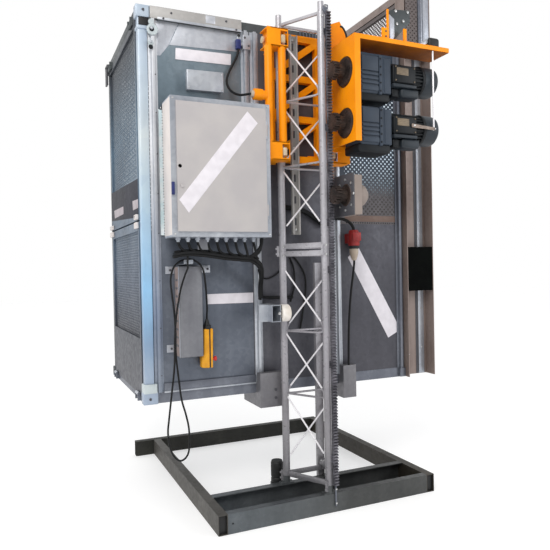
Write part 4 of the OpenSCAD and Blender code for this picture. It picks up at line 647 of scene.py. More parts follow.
# Strut behind the mast: a slotted channel, open to the front
hats.append(plate("centre_strut", [(-62, 353), (-62, 327), (-50, 327), (-50, 331), (-58, 331), (-58, 349), (-8, 349),
                                   (-8, 331),
                                   (-16, 331), (-16, 327), (-4, 327), (-4, 353)], "z", 1795, 1365, CENTRE_ZINC,
                  edge=0.8))
# Dark plates on the web paint the shade seen through the strut's slots
for i in range(9):
    hats.append(block("centre_slot", (-40, 346.5, 1860 + 150 * i), (-26, 349.5, 1910 + 150 * i), DARK_PLATE, edge=0.5))
hats.append(bolts("centre_bolts", [(-33, 345, z) for z in (2730, 3130, 2390, 1830)], "y", 20, 8, BRIGHT_STEEL))
stand_for(hats, "front_hats", "galvanised_steel", "front_uprights")

corner_posts = []
for y0, finish in ((400, POST), (1552, REAR_POST)):
    corner_posts.append(block("corner_post", (-1080, y0, 722), (-1020, y0 + 60, 3228), finish, edge=5, segments=3))
    front = y0 - 12 if y0 == 400 else y0
    far = -1000 if y0 == 400 else -1020
    for z in (722, 3154):
        corner_posts.append(block("post_end", (-1092, front, z), (far, front + 72, z + 74), finish, edge=4, segments=3))
corner_posts.append(block("post_foot_cap", (-1090, 386, 790), (-1004, 462, 850), WASHER, edge=5, segments=3))
# A black block paints the shade in the recess at the top of the post
corner_posts.append(block("post_recess", (-1074, 396, 3104), (-1012, 402, 3154), BLACK_RUBBER, edge=1))
corner_posts.append(block("post_collar", (-1086, 392, 3080), (-1016, 464, 3100), POST, edge=4, segments=3))
stand_for(corner_posts, "corner_posts", "galvanised_steel", "left_posts")

REAR = 1609
rear_low = plate("rear_sheet_lower", box_outline(-1020, 1060, WALL_FOOT, MID_Z), "y", REAR, SHEET_T, SHEET)
rear_bays = []
for start, end in ((-1020, -575), (-575, 49), (49, 673), (673, 1060)):
    rear_bays.append(border("rear_bay_edge", "y", (start, end, MID_Z, WALL_HEAD), (start + 40, end - 40, 1900, 3130),
                            REAR,
                            SHEET_T, SHEET))
    rear_bays.append(punched("rear_bay_holes", "y", (start + 20, end - 20), (1884, 3146), REAR + 0.5, 2, SHEET))
for x in (-604, 20, 644):
    rear_bays.append(plate("rear_hat", [(x + a, REAR + c) for a, c in HAT], "z", WALL_FOOT, WALL_HEAD - WALL_FOOT,
                           PROFILE, edge=0.8))
stand_for([rear_low] + rear_bays[:4], "rear_wall_left", "galvanised_steel", "rear_wall")
join(rear_bays[4:], "rear_wall_right")


LEAF_BAR, LEAF_DEPTH = 40, 30
LEAF_LAP = 20       # how far the punched sheet runs into the bars


def leaf(name, body, span, limits, holes, place, finish):
    """A door leaf: a welded bar frame round a punched sheet, which runs into the bars"""
    opening = (span[0] + LEAF_BAR, span[1] - LEAF_BAR, *holes)
    edge = border(name + "_bars", "x", (*span, *limits), opening, place, LEAF_DEPTH, finish, body)
    sheet = punched(name + "_sheet", "x", (span[0] + LEAF_LAP, span[1] - LEAF_LAP),
                    (holes[0] - LEAF_LAP, holes[1] + LEAF_LAP), place + 14, 2, finish, body)
    return [edge, sheet]


def latches(name, low, high, body):
    """The pale latch blocks at both ends of a leaf's edge"""
    return [block(name, (-1103, y0, low), (-1085, y1, high), PALE_POWDER, body, edge=4, segments=3)
            for y0, y1 in ((466, 540), (1450, 1560))]


def flap_plate(name, outline, place, thick, finish, edge=1.0):
    return plate(name, outline, "x", place, thick, finish, "left_flap", edge=edge)


def hinge(name, z, body, finish):
    """Two hinge barrels with the strap that carries each to the leaf"""
    pieces = []
    for y in (535, 1407):
        pieces.append(turned(name, [(0, 8), (2, 11), (68, 11), (70, 8)], (-1095, y, z), "y", finish, body, sides=20))
        pieces.append(block(name, (-1095, y + 4, z - 6), (-1070, y + 66, z + 6), finish, body, edge=1.5))
    return pieces


ramp = leaf("ramp", "left_ramp", (465, 1547), (760, 1880), (1130, 1822), -1085, SHEET_SIDE)
ramp += latches("ramp_latch", 1836, 1876, "left_ramp")
stand_for(ramp + hinge("ramp_hinge", 771, "left_ramp", PROFILE), "ramp_leaf", "galvanised_steel", "left_ramp")
flap = leaf("flap", "left_flap", (465, 1547), (1890, 3161), (2170, 3121), -1085, SHEET_SIDE)
flap += [
    flap_plate("flap_band", [(467, 1906), (1545, 1968), (1545, 2192), (467, 2152)], -1086, 6, BAND_SHEET),
    flap_plate("flap_label_front", [(468, 1966), (640, 1968), (655, 2030), (468, 2022)], -1087, 1.5, DULL_LABEL, 0.2),
    flap_plate("flap_label_rear", [(1010, 1977), (1400, 1978), (1425, 2040), (1010, 2032)], -1087, 1.5, DULL_LABEL,
               0.2)]
flap += latches("flap_latch", 1893, 1926, "left_flap")
flap.append(bolts("flap_latch_bolts", [(-1105, 505, 1910), (-1105, 1505, 1908)], "x", 18, 6, BRIGHT_STEEL, "left_flap"))
stand_for(flap + hinge("flap_hinge", 3150, "left_flap", REAR_POST), "flap_leaf", "galvanised_steel", "left_flap")
gate = leaf("gate", "right_gate", (465, 1552), (2197, 3722), (2237, 3690), 1095, GATE_ZINC)
stand_for(gate, "gate_leaf", "column_steel", "right_gate")


# Cage trim

trim = [
    block("roof_lip", (-958, 381, 3148), (-392, 387, 3163), PROFILE, edge=1.5),
    block("roof_channel_face", (-1004, 383.6, 3151), (-391, 387, 3227), CENTRE_ZINC, edge=2),
    block("roof_patch", (-640, 382, 3172), (-575, 384, 3222), SHEET_LIT, edge=0.5),
    bolts("roof_bolts", [(-868, 382, 3198), (-499, 382, 3203), (-920, 379, 3156), (-430, 379, 3156)], "y", 15, 6,
          DARK_PLATE),
    turned("hat_washer", [(0, 33), (3, 36), (8, 36)], (-991, 378, 3078), "y", WASHER, sides=32),
    turned("hat_washer_lobe", [(0, 15), (3, 18), (8, 18)], (-998, 378.5, 3126), "y", WASHER, sides=24),
    turned("hat_washer_rim", [(0, 15), (4, 15)], (-996, 375, 3078), "y", MOTOR_PAINT, sides=24),
    turned("hat_washer_low", [(0, 16), (3, 18), (8, 18)], (-1004, 378, 2995), "y", WASHER, sides=28),
    turned("hat_washer_low_rim", [(0, 14), (4, 14)], (-1003, 377, 2966), "y", MOTOR_PAINT, sides=20),
    bolts("hat_washer_bolts", [(-997, 372, 3082), (-1004, 375, 2998)], "y", 19, 8, PROFILE),
    block("roof_channel_end", (-1003, 386, 3152), (-957, 412, 3226), REAR_POST, edge=3),
    block("roof_channel_rim", (-1013, 388, 3146), (-1003, 410, 3224), REAR_POST, edge=3),
    block("roof_side_rail", (-1083, 474, 3165), (-1079, 1545, 3226), REAR_POST, edge=1),
    bolts("hat_rivets", [(-976, 385, z) for z in (2800, 2560, 2300, 2050, 1800, 1500, 1200, 900)], "y", 8, 4,
          DARK_PLATE, sides=8),
    block("post_hook_back", (-1106, 1548, 3060), (-1092, 1612, 3215), DARK_PLATE, edge=3),
    block("post_hook_lip", (-1106, 1520, 3190), (-1086, 1612, 3215), DARK_PLATE, edge=3),
    block("grille_top", (52, 403, 3228), (184, 411, 3246), SHEET, edge=1.5),
    block("grille_bottom", (52, 403, 3168), (184, 411, 3184), SHEET, edge=1.5),
    block("column_strip", (1070, 446, 724), (1122, 457, 3170), PROFILE, edge=3),
    # A dark plate paints the shade in the groove beside the column strip
    block("column_groove", (1048, 452, 724), (1068, 457, 3170), DARK_PLATE, edge=1),
    punched("column_screen", "y", (912, 1044), (3176, 3724), 356, 2, GATE_ZINC, hole=11),
    block("column_screen_bar", (1040, 354, 3176), (1086, 372, 3724), RAIL_ZINC, edge=2),
    block("column_screen_edge", (1066, 352, 3176), (1072, 355, 3724), SHEET_LIT, edge=0.5),
    block("column_cover", (1086, 356, 3176), (1142, 360, 3724), SHEET_LIT, edge=1),
    bolts("column_strip_bolts", [(1094, 444, 1232), (1096, 444, 930), (1094, 444, 2060), (1094, 444, 1900)], "y", 14, 6,
          BRIGHT_STEEL),
    block("upright_foot", (850, 388, 724), (900, 411, 790), RAIL_ZINC, edge=2),
    block("floor_rail_cap", (-958, 400, 791), (-326, 412, 846), RAIL_ZINC, edge=4),
    block("floor_rail_step", (-958, 396, 786), (-326, 402, 796), PROFILE, edge=2),
    bolts("strike_bolts", [(-214, 329, 745), (-214, 329, 690)], "y", 20, 4, DARK_PLATE, sides=16)]
for x in (52, 77, 102, 127, 152, 174):
    trim.append(block("grille_bar", (x, 404, 3180), (x + 10, 410, 3232), SHEET, edge=1))
end_bolts = [(-1092, y, z) for y in (430, 1582) for z in (735, 3215)]
trim.append(bolts("end_block_bolts", end_bolts, "x", 18, 8, PROFILE))
trim.append(bolts("end_block_front_bolts", [(-1050, 386, 757), (-1046, 386, 3196)], "y", 18, 8, DARK_PLATE))
teeth = [(-930 - 7 * (i % 2), 1790 + 9 * i) for i in range(89)]
trim.append(plate("wall_strip", [(-957, 2590), (-957, 1790)] + teeth, "y", FACE - 2, 1.5, STRIP_WHITE, edge=0))
for name, outline, proud in (
        ("label_top", [(-841, 2919), (-464, 2927), (-461, 3000), (-838, 2992)], 4.6),
        ("label_low", [(-662, 1338), (-334, 1336), (-333, 1404), (-661, 1404)], 1.2),
        ("label_right", [(418, 1636), (760, 1026), (873, 1080), (507, 1714)], 1.2)):
    trim.append(plate(name, outline, "y", FACE - proud, 1, LABEL, edge=0.2))
join(trim, "cage_trim")


# Cabinet and boxes on the front wall

door_label = plate("door_label", [(-914, 1982), (-857, 1906), (-403, 2474), (-471, 2543)], "y", 104.6, 1, LABEL,
                   "cabinet_door",
                   edge=0.2)
door_lock = turned("door_lock", [(0, 11), (5, 11), (7, 7)], (-905, 105.7, 2183), "y", PROFILE, "cabinet_door", sides=24)
join([door_label, door_lock], "door_fittings")
latch = [
    block("cabinet_latch", (-957, 106, 2012), (-938, 120, 2088), BLUE_PLASTIC, edge=3),
    turned("cabinet_latch_knob", [(0, 8), (8, 8), (11, 5)], (-948, 107, 2050), "y", BLUE_PLASTIC, sides=20),
    bolts("cabinet_screws", [(-939, 118, 2586), (-331, 118, 2586), (-939, 118, 1780), (-331, 118, 1780)], "y", 12, 6,
          BRIGHT_STEEL)]
latch.append(block("cabinet_side", (-956, 128, 1775), (-954.5, 309, 2594), PALE_POWDER, edge=0.5))
join(latch, "cabinet_fittings")

junction = [
    block("junction_base", (-776, 366, 2724), (-542, 412, 2846), PROFILE, edge=3),
    plate("junction_lid", [(-784, 2716), (-536, 2720), (-536, 2852), (-784, 2846)], "y", 350, 17, PROFILE, edge=5,
          segments=3),
    bolts("junction_screws", [(x, 348, z) for x in (-770, -550) for z in (2732, 2836)], "y", 8, 4, BRIGHT_STEEL)]
stand_for(junction, "junction_case", "galvanised_steel", "junction_box")

switch = [
    block("switch_body", (-430, 378, 3035), (-398, 410, 3098), BLUE_PLASTIC, edge=4),
    block("switch_head", (-426, 380, 3096), (-402, 408, 3116), PROFILE, edge=3),
    turned("switch_roller", [(0, 9), (8, 9)], (-414, 374, 3120), "y", BLACK_RUBBER, sides=20, edge=1),
    block("switch_plate", (-386, 378, 3036), (-330, 386, 3132), SHEET_LIT, edge=2),
    block("switch_arm", (-400, 384, 3060), (-384, 390, 3080), PROFILE, edge=1),
    bolts("switch_bolts", [(-372, 376, 3112), (-345, 376, 3060)], "y", 16, 6, DARK_PLATE)]
stand_for(switch, "limit_switch_unit", "blue_plastic", "limit_switch")

resistor = [
    block("resistor_case", (-873, 304, 1014), (-723, 404, 1589), RESISTOR_GREY, edge=5, segments=3),
    block("resistor_back", (-877, 402, 1010), (-719, 412, 1593), RESISTOR_GREY, edge=2),
    block("resistor_side", (-875.5, 320, 1020), (-872, 400, 1584), PINK_SHEET, edge=1),
    block("resistor_fold", (-876, 308, 1014), (-872, 320, 1589), SHEET_LIT, edge=1)]
for x0, x1, z in ((-935, -873, 1542), (-723, -637, 1546), (-935, -873, 1040), (-723, -660, 1040)):
    resistor.append(block("resistor_tab", (x0, 405, z), (x1, 412, z + 48), SHEET_LIT, edge=2))
resistor.append(bolts("resistor_bolts", [(-905, 402, 1566), (-655, 402, 1570), (-905, 402, 1064), (-690, 402, 1064)],
                      "y", 16, 7,
                      DARK_PLATE))
for i in range(9):
    z = 1080 + 52 * i
    resistor.append(block("resistor_louvre", (-877, 335, z), (-872, 385, z + 14), RESISTOR_GREY, edge=2))
stand_for(resistor, "resistor_case", "grey_paint", "resistor_box")


# Wiring under the cabinet

GLANDS = [-895 + 62 * i for i in range(9)]
STRANDS = [(0, 0), (14, 3), (-14, 2), (6, 14), (-7, -13), (9, -11)]
RUN = [(-925, 224, 1659), (-839, 225, 1671), (-736, 226, 1667), (-585, 226, 1645), (-470, 226, 1634), (-406, 228, 1625),
       (-345, 246, 1582), (-320, 290, 1520), (-306, 340, 1460), (-300, 360, 1405), (-298, 362, 1368)]
wiring = []
for i, (dy, dz) in enumerate(STRANDS):
    route = [(x + dz * 0.4, y + dy, z + dz) for x, y, z in RUN]
    wiring.append(cable(f"trunk_{i}", route, 19, CABLE_BLACK, steps=4, sides=2))
for i, x in enumerate(GLANDS):
    wiring.append(turned("gland", [(-26, 10), (-14, 11), (-14, 16), (0, 16)], (x, 224.5, 1764), "z", PROFILE, sides=12))
    reach = 76 if i < 7 else 30
    low = 1664 - 4.5 * i
    route = [(x, 224, 1740), (x + 3, 222, 1722), (x + 16, 220, low + 36), (x + 0.6 * reach, 218, low + 14),
             (x + reach, 222, low)]
    wiring.append(cable("gland_lead", route, 17, CABLE_BLACK, steps=4, sides=2))
for offset in (0, 18):
    route = [(-345 + offset / 3, 224, 1764), (-348, 222, 1715), (-365 - offset, 221, 1672), (-410 - offset, 222, 1642),
             (-460 - offset, 224, 1632)]
    wiring.append(cable("corner_lead", route, 20, CABLE_BLACK, steps=4, sides=2))
wiring.append(block("wiring_clip", (-774, 216, 1690), (-706, 224, 1756), RESISTOR_GREY, edge=2))
# The control cord leaves the bundle here
wiring.append(cable("cord_tail", [(-838, 225, 1590), (-838, 225, 1620), (-836, 225, 1648), (-828, 226, 1670)], 13,
                    CABLE_BLACK, sides=3))
wiring.append(block("cord_hook_arm", (-850, 268, 1600), (-790, 412, 1604), PROFILE, edge=1))
wiring.append(block("cord_hook_lip", (-850, 268, 1600), (-790, 272, 1630), PROFILE, edge=1))
wiring.append(cable("wall_lead", [(-297, 362, 1390), (-285, 374, 1376), (-240, 392, 1368), (-150, 400, 1364),
                                  (-40, 402, 1362)],
                    20, CABLE_BLACK, sides=2))
wiring.append(cable("wall_loop", [(-310, 372, 1560), (-280, 392, 1510), (-230, 400, 1496), (-170, 402, 1520),
                                  (-120, 402, 1560)],
                    9, CABLE_BLACK, sides=2))
wiring.append(cable("switch_lead", [(-413, 393, 3040), (-420, 393, 3000), (-448, 388, 2940), (-487, 382, 2870),
                                    (-508, 372, 2802), (-492, 340, 2735), (-458, 270, 2692), (-418, 196, 2682),
                                    (-398, 190, 2682)],
                    16, CABLE_BLACK, sides=3))
stand_for(wiring, "cabinet_wiring", "cable_rubber", "cable_harness")
stub_tip = turned("stub_tip", [(0, 14), (3, 20), (14, 24), (17, 24)], (-412, 190, 2682), "x", BEIGE_PLASTIC, sides=28)

hoses = [
    cable("mast_hose", [(-110, 384, 1985), (-10, 384, 1979), (75, 384, 1952), (150, 384, 1905), (215, 384, 1866)], 36,
          CABLE_BLACK, sides=3),
    cable("mast_lead_long", [(-50, 398, 1660), (0, 398, 1610), (52, 398, 1520), (60, 398, 1420), (40, 398, 1290),
                             (10, 398, 1130)], 13, CABLE_BLACK, sides=2),
    cable("mast_lead_short", [(-60, 398, 1640), (-30, 398, 1560), (-28, 398, 1440), (-60, 398, 1330)], 13, CABLE_BLACK,
          sides=2)]
join(hoses, "mast_hoses")


# Hand control and supply coupling

control = [
    plate("control_left", [(-727, 934), (-673, 930), (-673, 1184), (-709, 1184), (-713, 1024), (-727, 1002)], "y", 332,
          52, YELLOW_PLASTIC, edge=8, segments=3),
    plate("control_right", [(-666, 930), (-652, 932), (-647, 1184), (-666, 1184)], "y", 334, 48, YELLOW_PLASTIC, edge=5,
          segments=3),
    plate("control_seam", [(-675, 934), (-664, 934), (-664, 1182), (-675, 1182)], "y", 337, 42, BLACK_RUBBER, edge=1),
    turned("control_relief", [(1182, 25), (1206, 25), (1210, 19), (1226, 14), (1244, 9), (1246, 8)], (-681, 358, 0),
           "z", BLACK_RUBBER, sides=28)]
for z in (1150, 1100, 1050):
    control.append(turned("control_button", [(0, 12), (6, 12), (8, 9)], (-650, 358, z), "x", BLACK_RUBBER, sides=20))
control.append(block("control_carrier", (-700, 384, 1090), (-660, 412, 1130), PROFILE, edge=2))
stand_for(control, "hand_control", "pendant_plastic", "pendant")

coupling = [
    turned("coupling_plug", [(1612, 11), (1616, 17), (1640, 25), (1668, 31), (1698, 32)], (430, 345, 0), "z",
           BEIGE_PLASTIC, sides=32),
    turned("coupling_ring", [(1696, 34), (1700, 37), (1716, 37), (1719, 34)], (430, 345, 0), "z", BLACK_RUBBER,
           sides=32),
    turned("coupling_socket", [(1718, 38), (1726, 42), (1780, 43), (1796, 40), (1822, 35), (1830, 30)], (430, 345, 0),
           "z", RED_PLASTIC, sides=32),
    block("coupling_foot", (392, 352, 1736), (468, 412, 1806), RED_PLASTIC, edge=6, segments=3),
    block("coupling_lid", (396, 299, 1752), (464, 306, 1812), RED_PLASTIC, edge=3),
    cable("coupling_lead", [(430, 345, 1828), (427, 346, 1850), (410, 352, 1880), (372, 366, 1906), (320, 384, 1916),
                            (262, 392, 1920)], 22, CABLE_BLACK, sides=2)]
stand_for(coupling, "supply_coupling", "red_plastic", "power_coupling")


# Drive

PINION_Y = -98


def ring_places(x, height, radius, count):
    """Bolt places on a circle round a drive axis"""
    turns = [2 * math.pi * k / count for k in range(count)]
    return [(x, PINION_Y + radius * math.cos(t), height + radius * math.sin(t)) for t in turns]


def gear_unit(name, node, middle):
    """Cast housing: stepped round foot, squared case with raised pads and slots between them, ridge and end cap"""
    pieces = [
        turned(name + "_foot", [(118, 108), (121, 112), (132, 112), (132, 84), (164, 84)], (0, PINION_Y, middle + 25),
               "x", GEAR_PAINT, sides=48),
        block(name + "_case", (160, -196, middle - 120), (302, 0, middle + 120), GEAR_PAINT, edge=16, segments=3),
        block(name + "_ridge", (300, -201, middle - 122), (322, 5, middle + 122), GEAR_PAINT, edge=5),
        plate(name + "_cap", [(320, -196), (390, -196), (398, -184), (398, -12), (390, 0), (320, 0)], "z", middle - 112,
              224, GEAR_PAINT, edge=10, segments=3),
        block(name + "_rib", (338, -200, middle - 104), (346, 4, middle + 104), GEAR_PAINT, edge=2),
        # The sump shapes the case's rounded bottom; its black paint is painted shade
        block(name + "_sump", (152, -188, middle - 166), (388, -8, middle - 108), MOTOR_PAINT, edge=14, segments=3)]
    for low, high in ((18, 108), (-8, 8), (-35, -19), (-62, -46), (-104, -73)):
        pieces.append(block(name + "_pad", (172, -205, middle + low), (292, -190, middle + high), GEAR_PAINT, edge=3))
    ring = [(309, -203, middle + z) for z in (-100, -50, 0, 50, 100)]
    pieces.append(bolts(name + "_bolts", ring, "y", 12, 5, MOTOR_PAINT))
    stand_for(pieces, name, "gear_iron", node)


def star(count, inner, outer, centre):
    """Outline of a finned barrel, square to its axis"""
    points = []
    step = 2 * math.pi / count
    for i in range(count):
        for turn, radius in ((-0.3, inner), (-0.18, outer), (0.18, outer), (0.3, inner)):
            angle = (i + turn) * step
            points.append((centre[0] + radius * math.cos(angle), centre[1] + radius * math.sin(angle)))
    return points


def brake_motor(name, node, axis):
    """Finned barrel with end shield and fan cowl, terminal box with its bare plate, a ledge and a brake box below"""
    pieces = [
        plate(name + "_fins", star(26, 84, 95, (PINION_Y, axis)), "x", 410, 260, MOTOR_PAINT, edge=0),
        turned(name + "_shield", [(398, 88), (402, 98), (418, 98), (422, 93)], (0, PINION_Y, axis), "x", MOTOR_PAINT,
               sides=48),
        turned(name + "_cowl", [(656, 94), (660, 99), (742, 100), (764, 95), (777, 81), (783, 64), (784, 30)],
               (0, PINION_Y, axis), "x", COWL_PAINT, sides=56),
        turned(name + "_cowl_band", [(646, 99), (650, 102), (664, 102), (668, 99)], (0, PINION_Y, axis), "x",
               MOTOR_PAINT, sides=56),
        block(name + "_terminals", (402, -206, axis - 56), (576, -120, axis + 56), MOTOR_PAINT, edge=8, segments=3),
        block(name + "_lid", (406, -212, axis - 52), (572, -204, axis + 52), MOTOR_PAINT, edge=4),
        block(name + "_type_plate", (424, -214, axis - 6), (514, -211.5, axis + 40), PLATE_METAL, edge=1),
        block(name + "_ledge", (400, -212, axis - 82), (580, -140, axis - 60), COWL_PAINT, edge=6, segments=3),
        block(name + "_brake_box", (466, -202, axis - 142), (606, -96, axis - 84), COWL_PAINT, edge=16, segments=4),
        block(name + "_brake_foot", (410, -180, axis - 138), (470, -60, axis - 84), MOTOR_PAINT, edge=8, segments=3),
        bolts(name + "_lid_screws", [(x, -214, axis + z) for x in (416, 560) for z in (-42, 44)], "y", 10, 5,
              PLATE_METAL)]
    stand_for(pieces, name, "motor_iron", node)


gear_unit("gear_unit_upper", "gearbox_upper", 2766.1)
gear_unit("gear_unit_lower", "gearbox_lower", 2445.7)
brake_motor("brake_motor_upper", "motor_upper", 2785)
brake_motor("brake_motor_lower", "motor_lower", 2464)
# The seat discs round each pinion take the dark pinion steel as painted shade
for name, height in (("upper", 2791.1), ("lower", 2470.7)):
    disc = [
        turned(f"pinion_disc_{name}", [(96, 70), (99, 86), (112, 91), (117, 91)], (0, PINION_Y, height), "x",
               PINION_STEEL, sides=48),
        bolts(f"pinion_disc_bolts_{name}", ring_places(97, height, 76, 6), "x", 14, 8, PINION_STEEL)]
    join(disc, f"pinion_seat_{name}")

SAFETY_Z = 2018.3
safety = [
    plate("safety_plate", box_outline(-193, 140, 1887, 2149), "x", 102, 8, DARK_PLATE),
    block("safety_case", (110, -193, 1890), (166, -8, 2136), SAFETY_PAINT, edge=5, segments=3),
    turned("safety_dome", [(160, 82), (172, 82), (200, 76), (226, 62), (246, 40), (256, 18), (258, 5)],
           (0, PINION_Y, SAFETY_Z), "x", SAFETY_PAINT, sides=48),
    turned("safety_collar", [(98, 66), (102, 70), (104, 70)], (0, PINION_Y, SAFETY_Z), "x", PINION_STEEL, sides=40),
    bolts("safety_bolts", ring_places(99, SAFETY_Z, 96, 8), "x", 17, 8, BRIGHT_STEEL)]
stand_for(safety, "safety_brake", "safety_paint", "safety_device")

rod = [
    turned("brake_rod_bar", [(2447, 4), (2450, 5.5), (2988, 5.5), (2991, 4)], (711, -210, 0), "z", ROD_ZINC,
           "brake_rod", sides=20),
    plate("brake_lever", [(530, 2452), (716, 2446), (716, 2464), (530, 2476)], "y", -222, 7, DULL_ALLOY, "brake_rod",
          edge=2),
    bolts("brake_lever_bolts", [(546, -224, 2464), (711, -224, 2455)], "y", 13, 6, BRIGHT_STEEL, "brake_rod")]
stand_for(rod, "brake_lever", "roller_steel", "brake_rod")

fittings = [
    plate("shelf_bracket", [(412, 2995), (428, 2995), (576, 3150), (576, 3228), (440, 3214), (412, 3200)], "y", -154, 5,
          REAR_POST, edge=1),
    plate("shelf_bracket_flange", [(410, 2995), (426, 2995), (448, 3040), (448, 3150), (410, 3176)], "y", -162, 8,
          SHEET_LIT, edge=1),
    block("shelf_bracket_foot", (408, -190, 2995), (470, -120, 3001), PROFILE, edge=1),
    bolts("shelf_bracket_bolts", [(470, -157, 3126), (520, -157, 3150), (556, -157, 3212), (462, -157, 3206)], "y", 20,
          7, BRIGHT_STEEL),
    block("shelf_post_thin", (394, -162, 2990), (406, -150, 3208), YELLOW, edge=1.5),
    block("shelf_post_left", (334, -190, 2990), (386, -180, 3072), YELLOW, edge=2),
    block("shelf_post_right", (494, -196, 2985), (518, -186, 3084), YELLOW, edge=2),
    bolts("shelf_post_bolts", [(362, -192, 3050), (362, -192, 3018)], "y", 12, 5, DARK_PLATE),
    plate("shelf_lever_arm", [(612, 2995), (640, 2995), (716, 3034), (716, 3056), (690, 3056)], "y", -176, 14, PROFILE,
          edge=3),
    block("shelf_lever_grip", (700, -194, 2995), (786, -132, 3064), BLACK_RUBBER, edge=18, segments=4),
    cable("shelf_lead", [(150, -60, 2996), (148, -66, 3030), (138, -62, 3066), (124, -54, 3092), (112, -48, 3096)], 12,
          CABLE_BLACK, sides=2),
    # A thin dark plate under the shelf paints its shade
    block("shelf_shade", (119, -217, 2963.6), (836, -31, 2966.8), SHELF_SHADE, edge=0.8)]
stand_for(fittings, "shelf_gear", "galvanised_steel", "shelf_fittings")


# Carriage columns: round tubes between two roller boxes

def carriage_column(name, hand):
    """Boxes of plate round one mast leg with a window for the front roller; hand is 1 for the left column"""
    def sides(points):
        return [(hand * x, y) for x, y in points]

    def span(x0, x1):
        return sorted((hand * x0, hand * x1))

    pieces = []
    for middle in (3062, 2328):
        low, high = middle - 60, middle + 60
        x0, x1 = span(-301, -152)
        w0, w1 = span(-206, -156)
        pieces.append(border(name + "_face", "y", (x0, x1, low, high), (w0, w1, low + 14, high - 16), 164.8, 8, YELLOW))
        deck = [(-301, 200), (-278, 164.8), (-152, 164.8), (-152, 245), (-199, 262), (-203, 285.8), (-199, 309),
                (-186, 322),
                (-186, 352), (-250, 352), (-250, 285.8), (-301, 285.8)]
        pieces += [plate(name + "_deck", sides(deck), "z", z, 8, YELLOW, edge=1.5) for z in (low, high - 8)]
        pieces.append(plate(name + "_rib", sides([(-282, 170), (-276, 170), (-276, 284), (-282, 284)]), "z", low + 6,
                            108, YELLOW))
        x0, x1 = span(-199, -163)
        pieces.append(block(name + "_roller_guard", (x0, 176, middle - 30), (x1, 200, middle + 28), ROLLER_STEEL,
                            edge=11, segments=4))
        pieces.append(turned(name + "_roller_nut", [(0, 22), (10, 22), (14, 15)], (hand * -298 - 6, 250, middle), "x",
                             ROLLER_STEEL,
                             sides=24))
    for x in (-190, -286):
        pieces.append(turned(name + "_tube", [(2386, 25), (2388, 26), (3003, 26), (3005, 25)], (hand * x, 189.8, 0),
                             "z", YELLOW,
                             sides=36))
    return pieces


left_column = carriage_column("left_column", 1)
left_column.append(turned("column_stub", [(-395, 30), (-391, 36), (-336, 36), (-332, 30), (-305, 28)], (0, 189.8, 2682),
                          "x", YELLOW,
                          sides=40))
stand_for(left_column, "left_column", "yellow_paint", "carriage_left_column")
stand_for(carriage_column("right_column", -1), "right_column", "yellow_paint", "carriage_right_column")


# Mast sections: three legs, flat end frames, and one bent rod on each face of every bay

LEG_F, LEG_L, LEG_R = Vector((0, 0, 0)), Vector((-165, 285.8, 0)), Vector((165, 285.8, 0))


def along_face(start, end, share, z):
    return (*(start + (end - start) * share).xy, z)


def mast_section(name, node, low, high, frames, bays):
    """Legs from low to high; frames are the end bars' heights; a bay lists for each face where its rod
    leaves the first leg, where it turns at the second and where it comes back as a cross bar"""
    pieces = [turned(name + "_leg", [(low, 22.5), (low + 2, 24), (high - 2, 24), (high, 22.5)], (leg.x, leg.y, 0), "z",
                     MAST_ZINC, "base",
                     sides=32) for leg in (LEG_F, LEG_L, LEG_R)]
    faces = ((LEG_L, LEG_F), (LEG_F, LEG_R), (LEG_R, LEG_L))
    for start, end in faces:
        out = Vector((end.y - start.y, start.x - end.x, 0)).normalized() * 8
        for z in frames:
            a, b = start + (end - start) * 0.06, start + (end - start) * 0.94
            corners = [(a + out).xy, (b + out).xy, (b - out).xy, (a - out).xy]
            bar_height = 20 if z > 3000 else 34
            pieces.append(plate(name + "_frame", corners, "z", z - bar_height / 2, bar_height, MAST_ZINC, "base",
                                edge=3))
    for bay in bays:
        for (start, end), (top, turn, bar) in zip(faces, bay):
            fall = (top - turn) * 0.1
            route = [
                along_face(start, end, 0.04, top - fall * 0.4),
                along_face(start, end, 0.5, (top + turn) / 2),
                along_face(start, end, 0.9, turn + fall)]
            pieces.append(cable(name + "_rod", route, 11.5, ROD_ZINC, "base", steps=2, sides=3))
            if bar:
                back = [
                    along_face(start, end, 0.88, turn + fall * 1.2),
                    along_face(start, end, 0.925, turn + fall * 0.5),
                    along_face(start, end, 0.92, (turn + bar) / 2),
                    along_face(start, end, 0.88, bar + 2),
                    along_face(start, end, 0.8, bar),
                    along_face(start, end, 0.06, bar)]
                pieces.append(cable(name + "_bar", back, 14, MAST_ZINC, "base", steps=4, sides=3))
    stand_for(pieces, name, "galvanised_steel", node)


mast_section("mast_lower", "mast_section_lower", 171.1, 1678.9, (183, 1661), [
    [(1571, 1171, 1146), (1540, 1160, 1144), (1514, 1150, 1144)],
    [(1150, 739, 726), (1115, 728, 726), (1079, 730, 722)],
    [(728, 327, 0), (680, 300, 0), (629, 271, 0)]])
mast_section("mast_upper", "mast_section_upper", 1679, 3186.9, (1711, 3186), [
    [(3103, 2685, 2671), (3082, 2690, 2676), (3062, 2698, 2680)],
    [(2669, 2244, 2240), (2640, 2248, 2238), (2617, 2254, 2236)],
    [(2235, 1822, 0), (2208, 1815, 0), (2183, 1812, 0)]])


# Mast, roller and carriage hardware

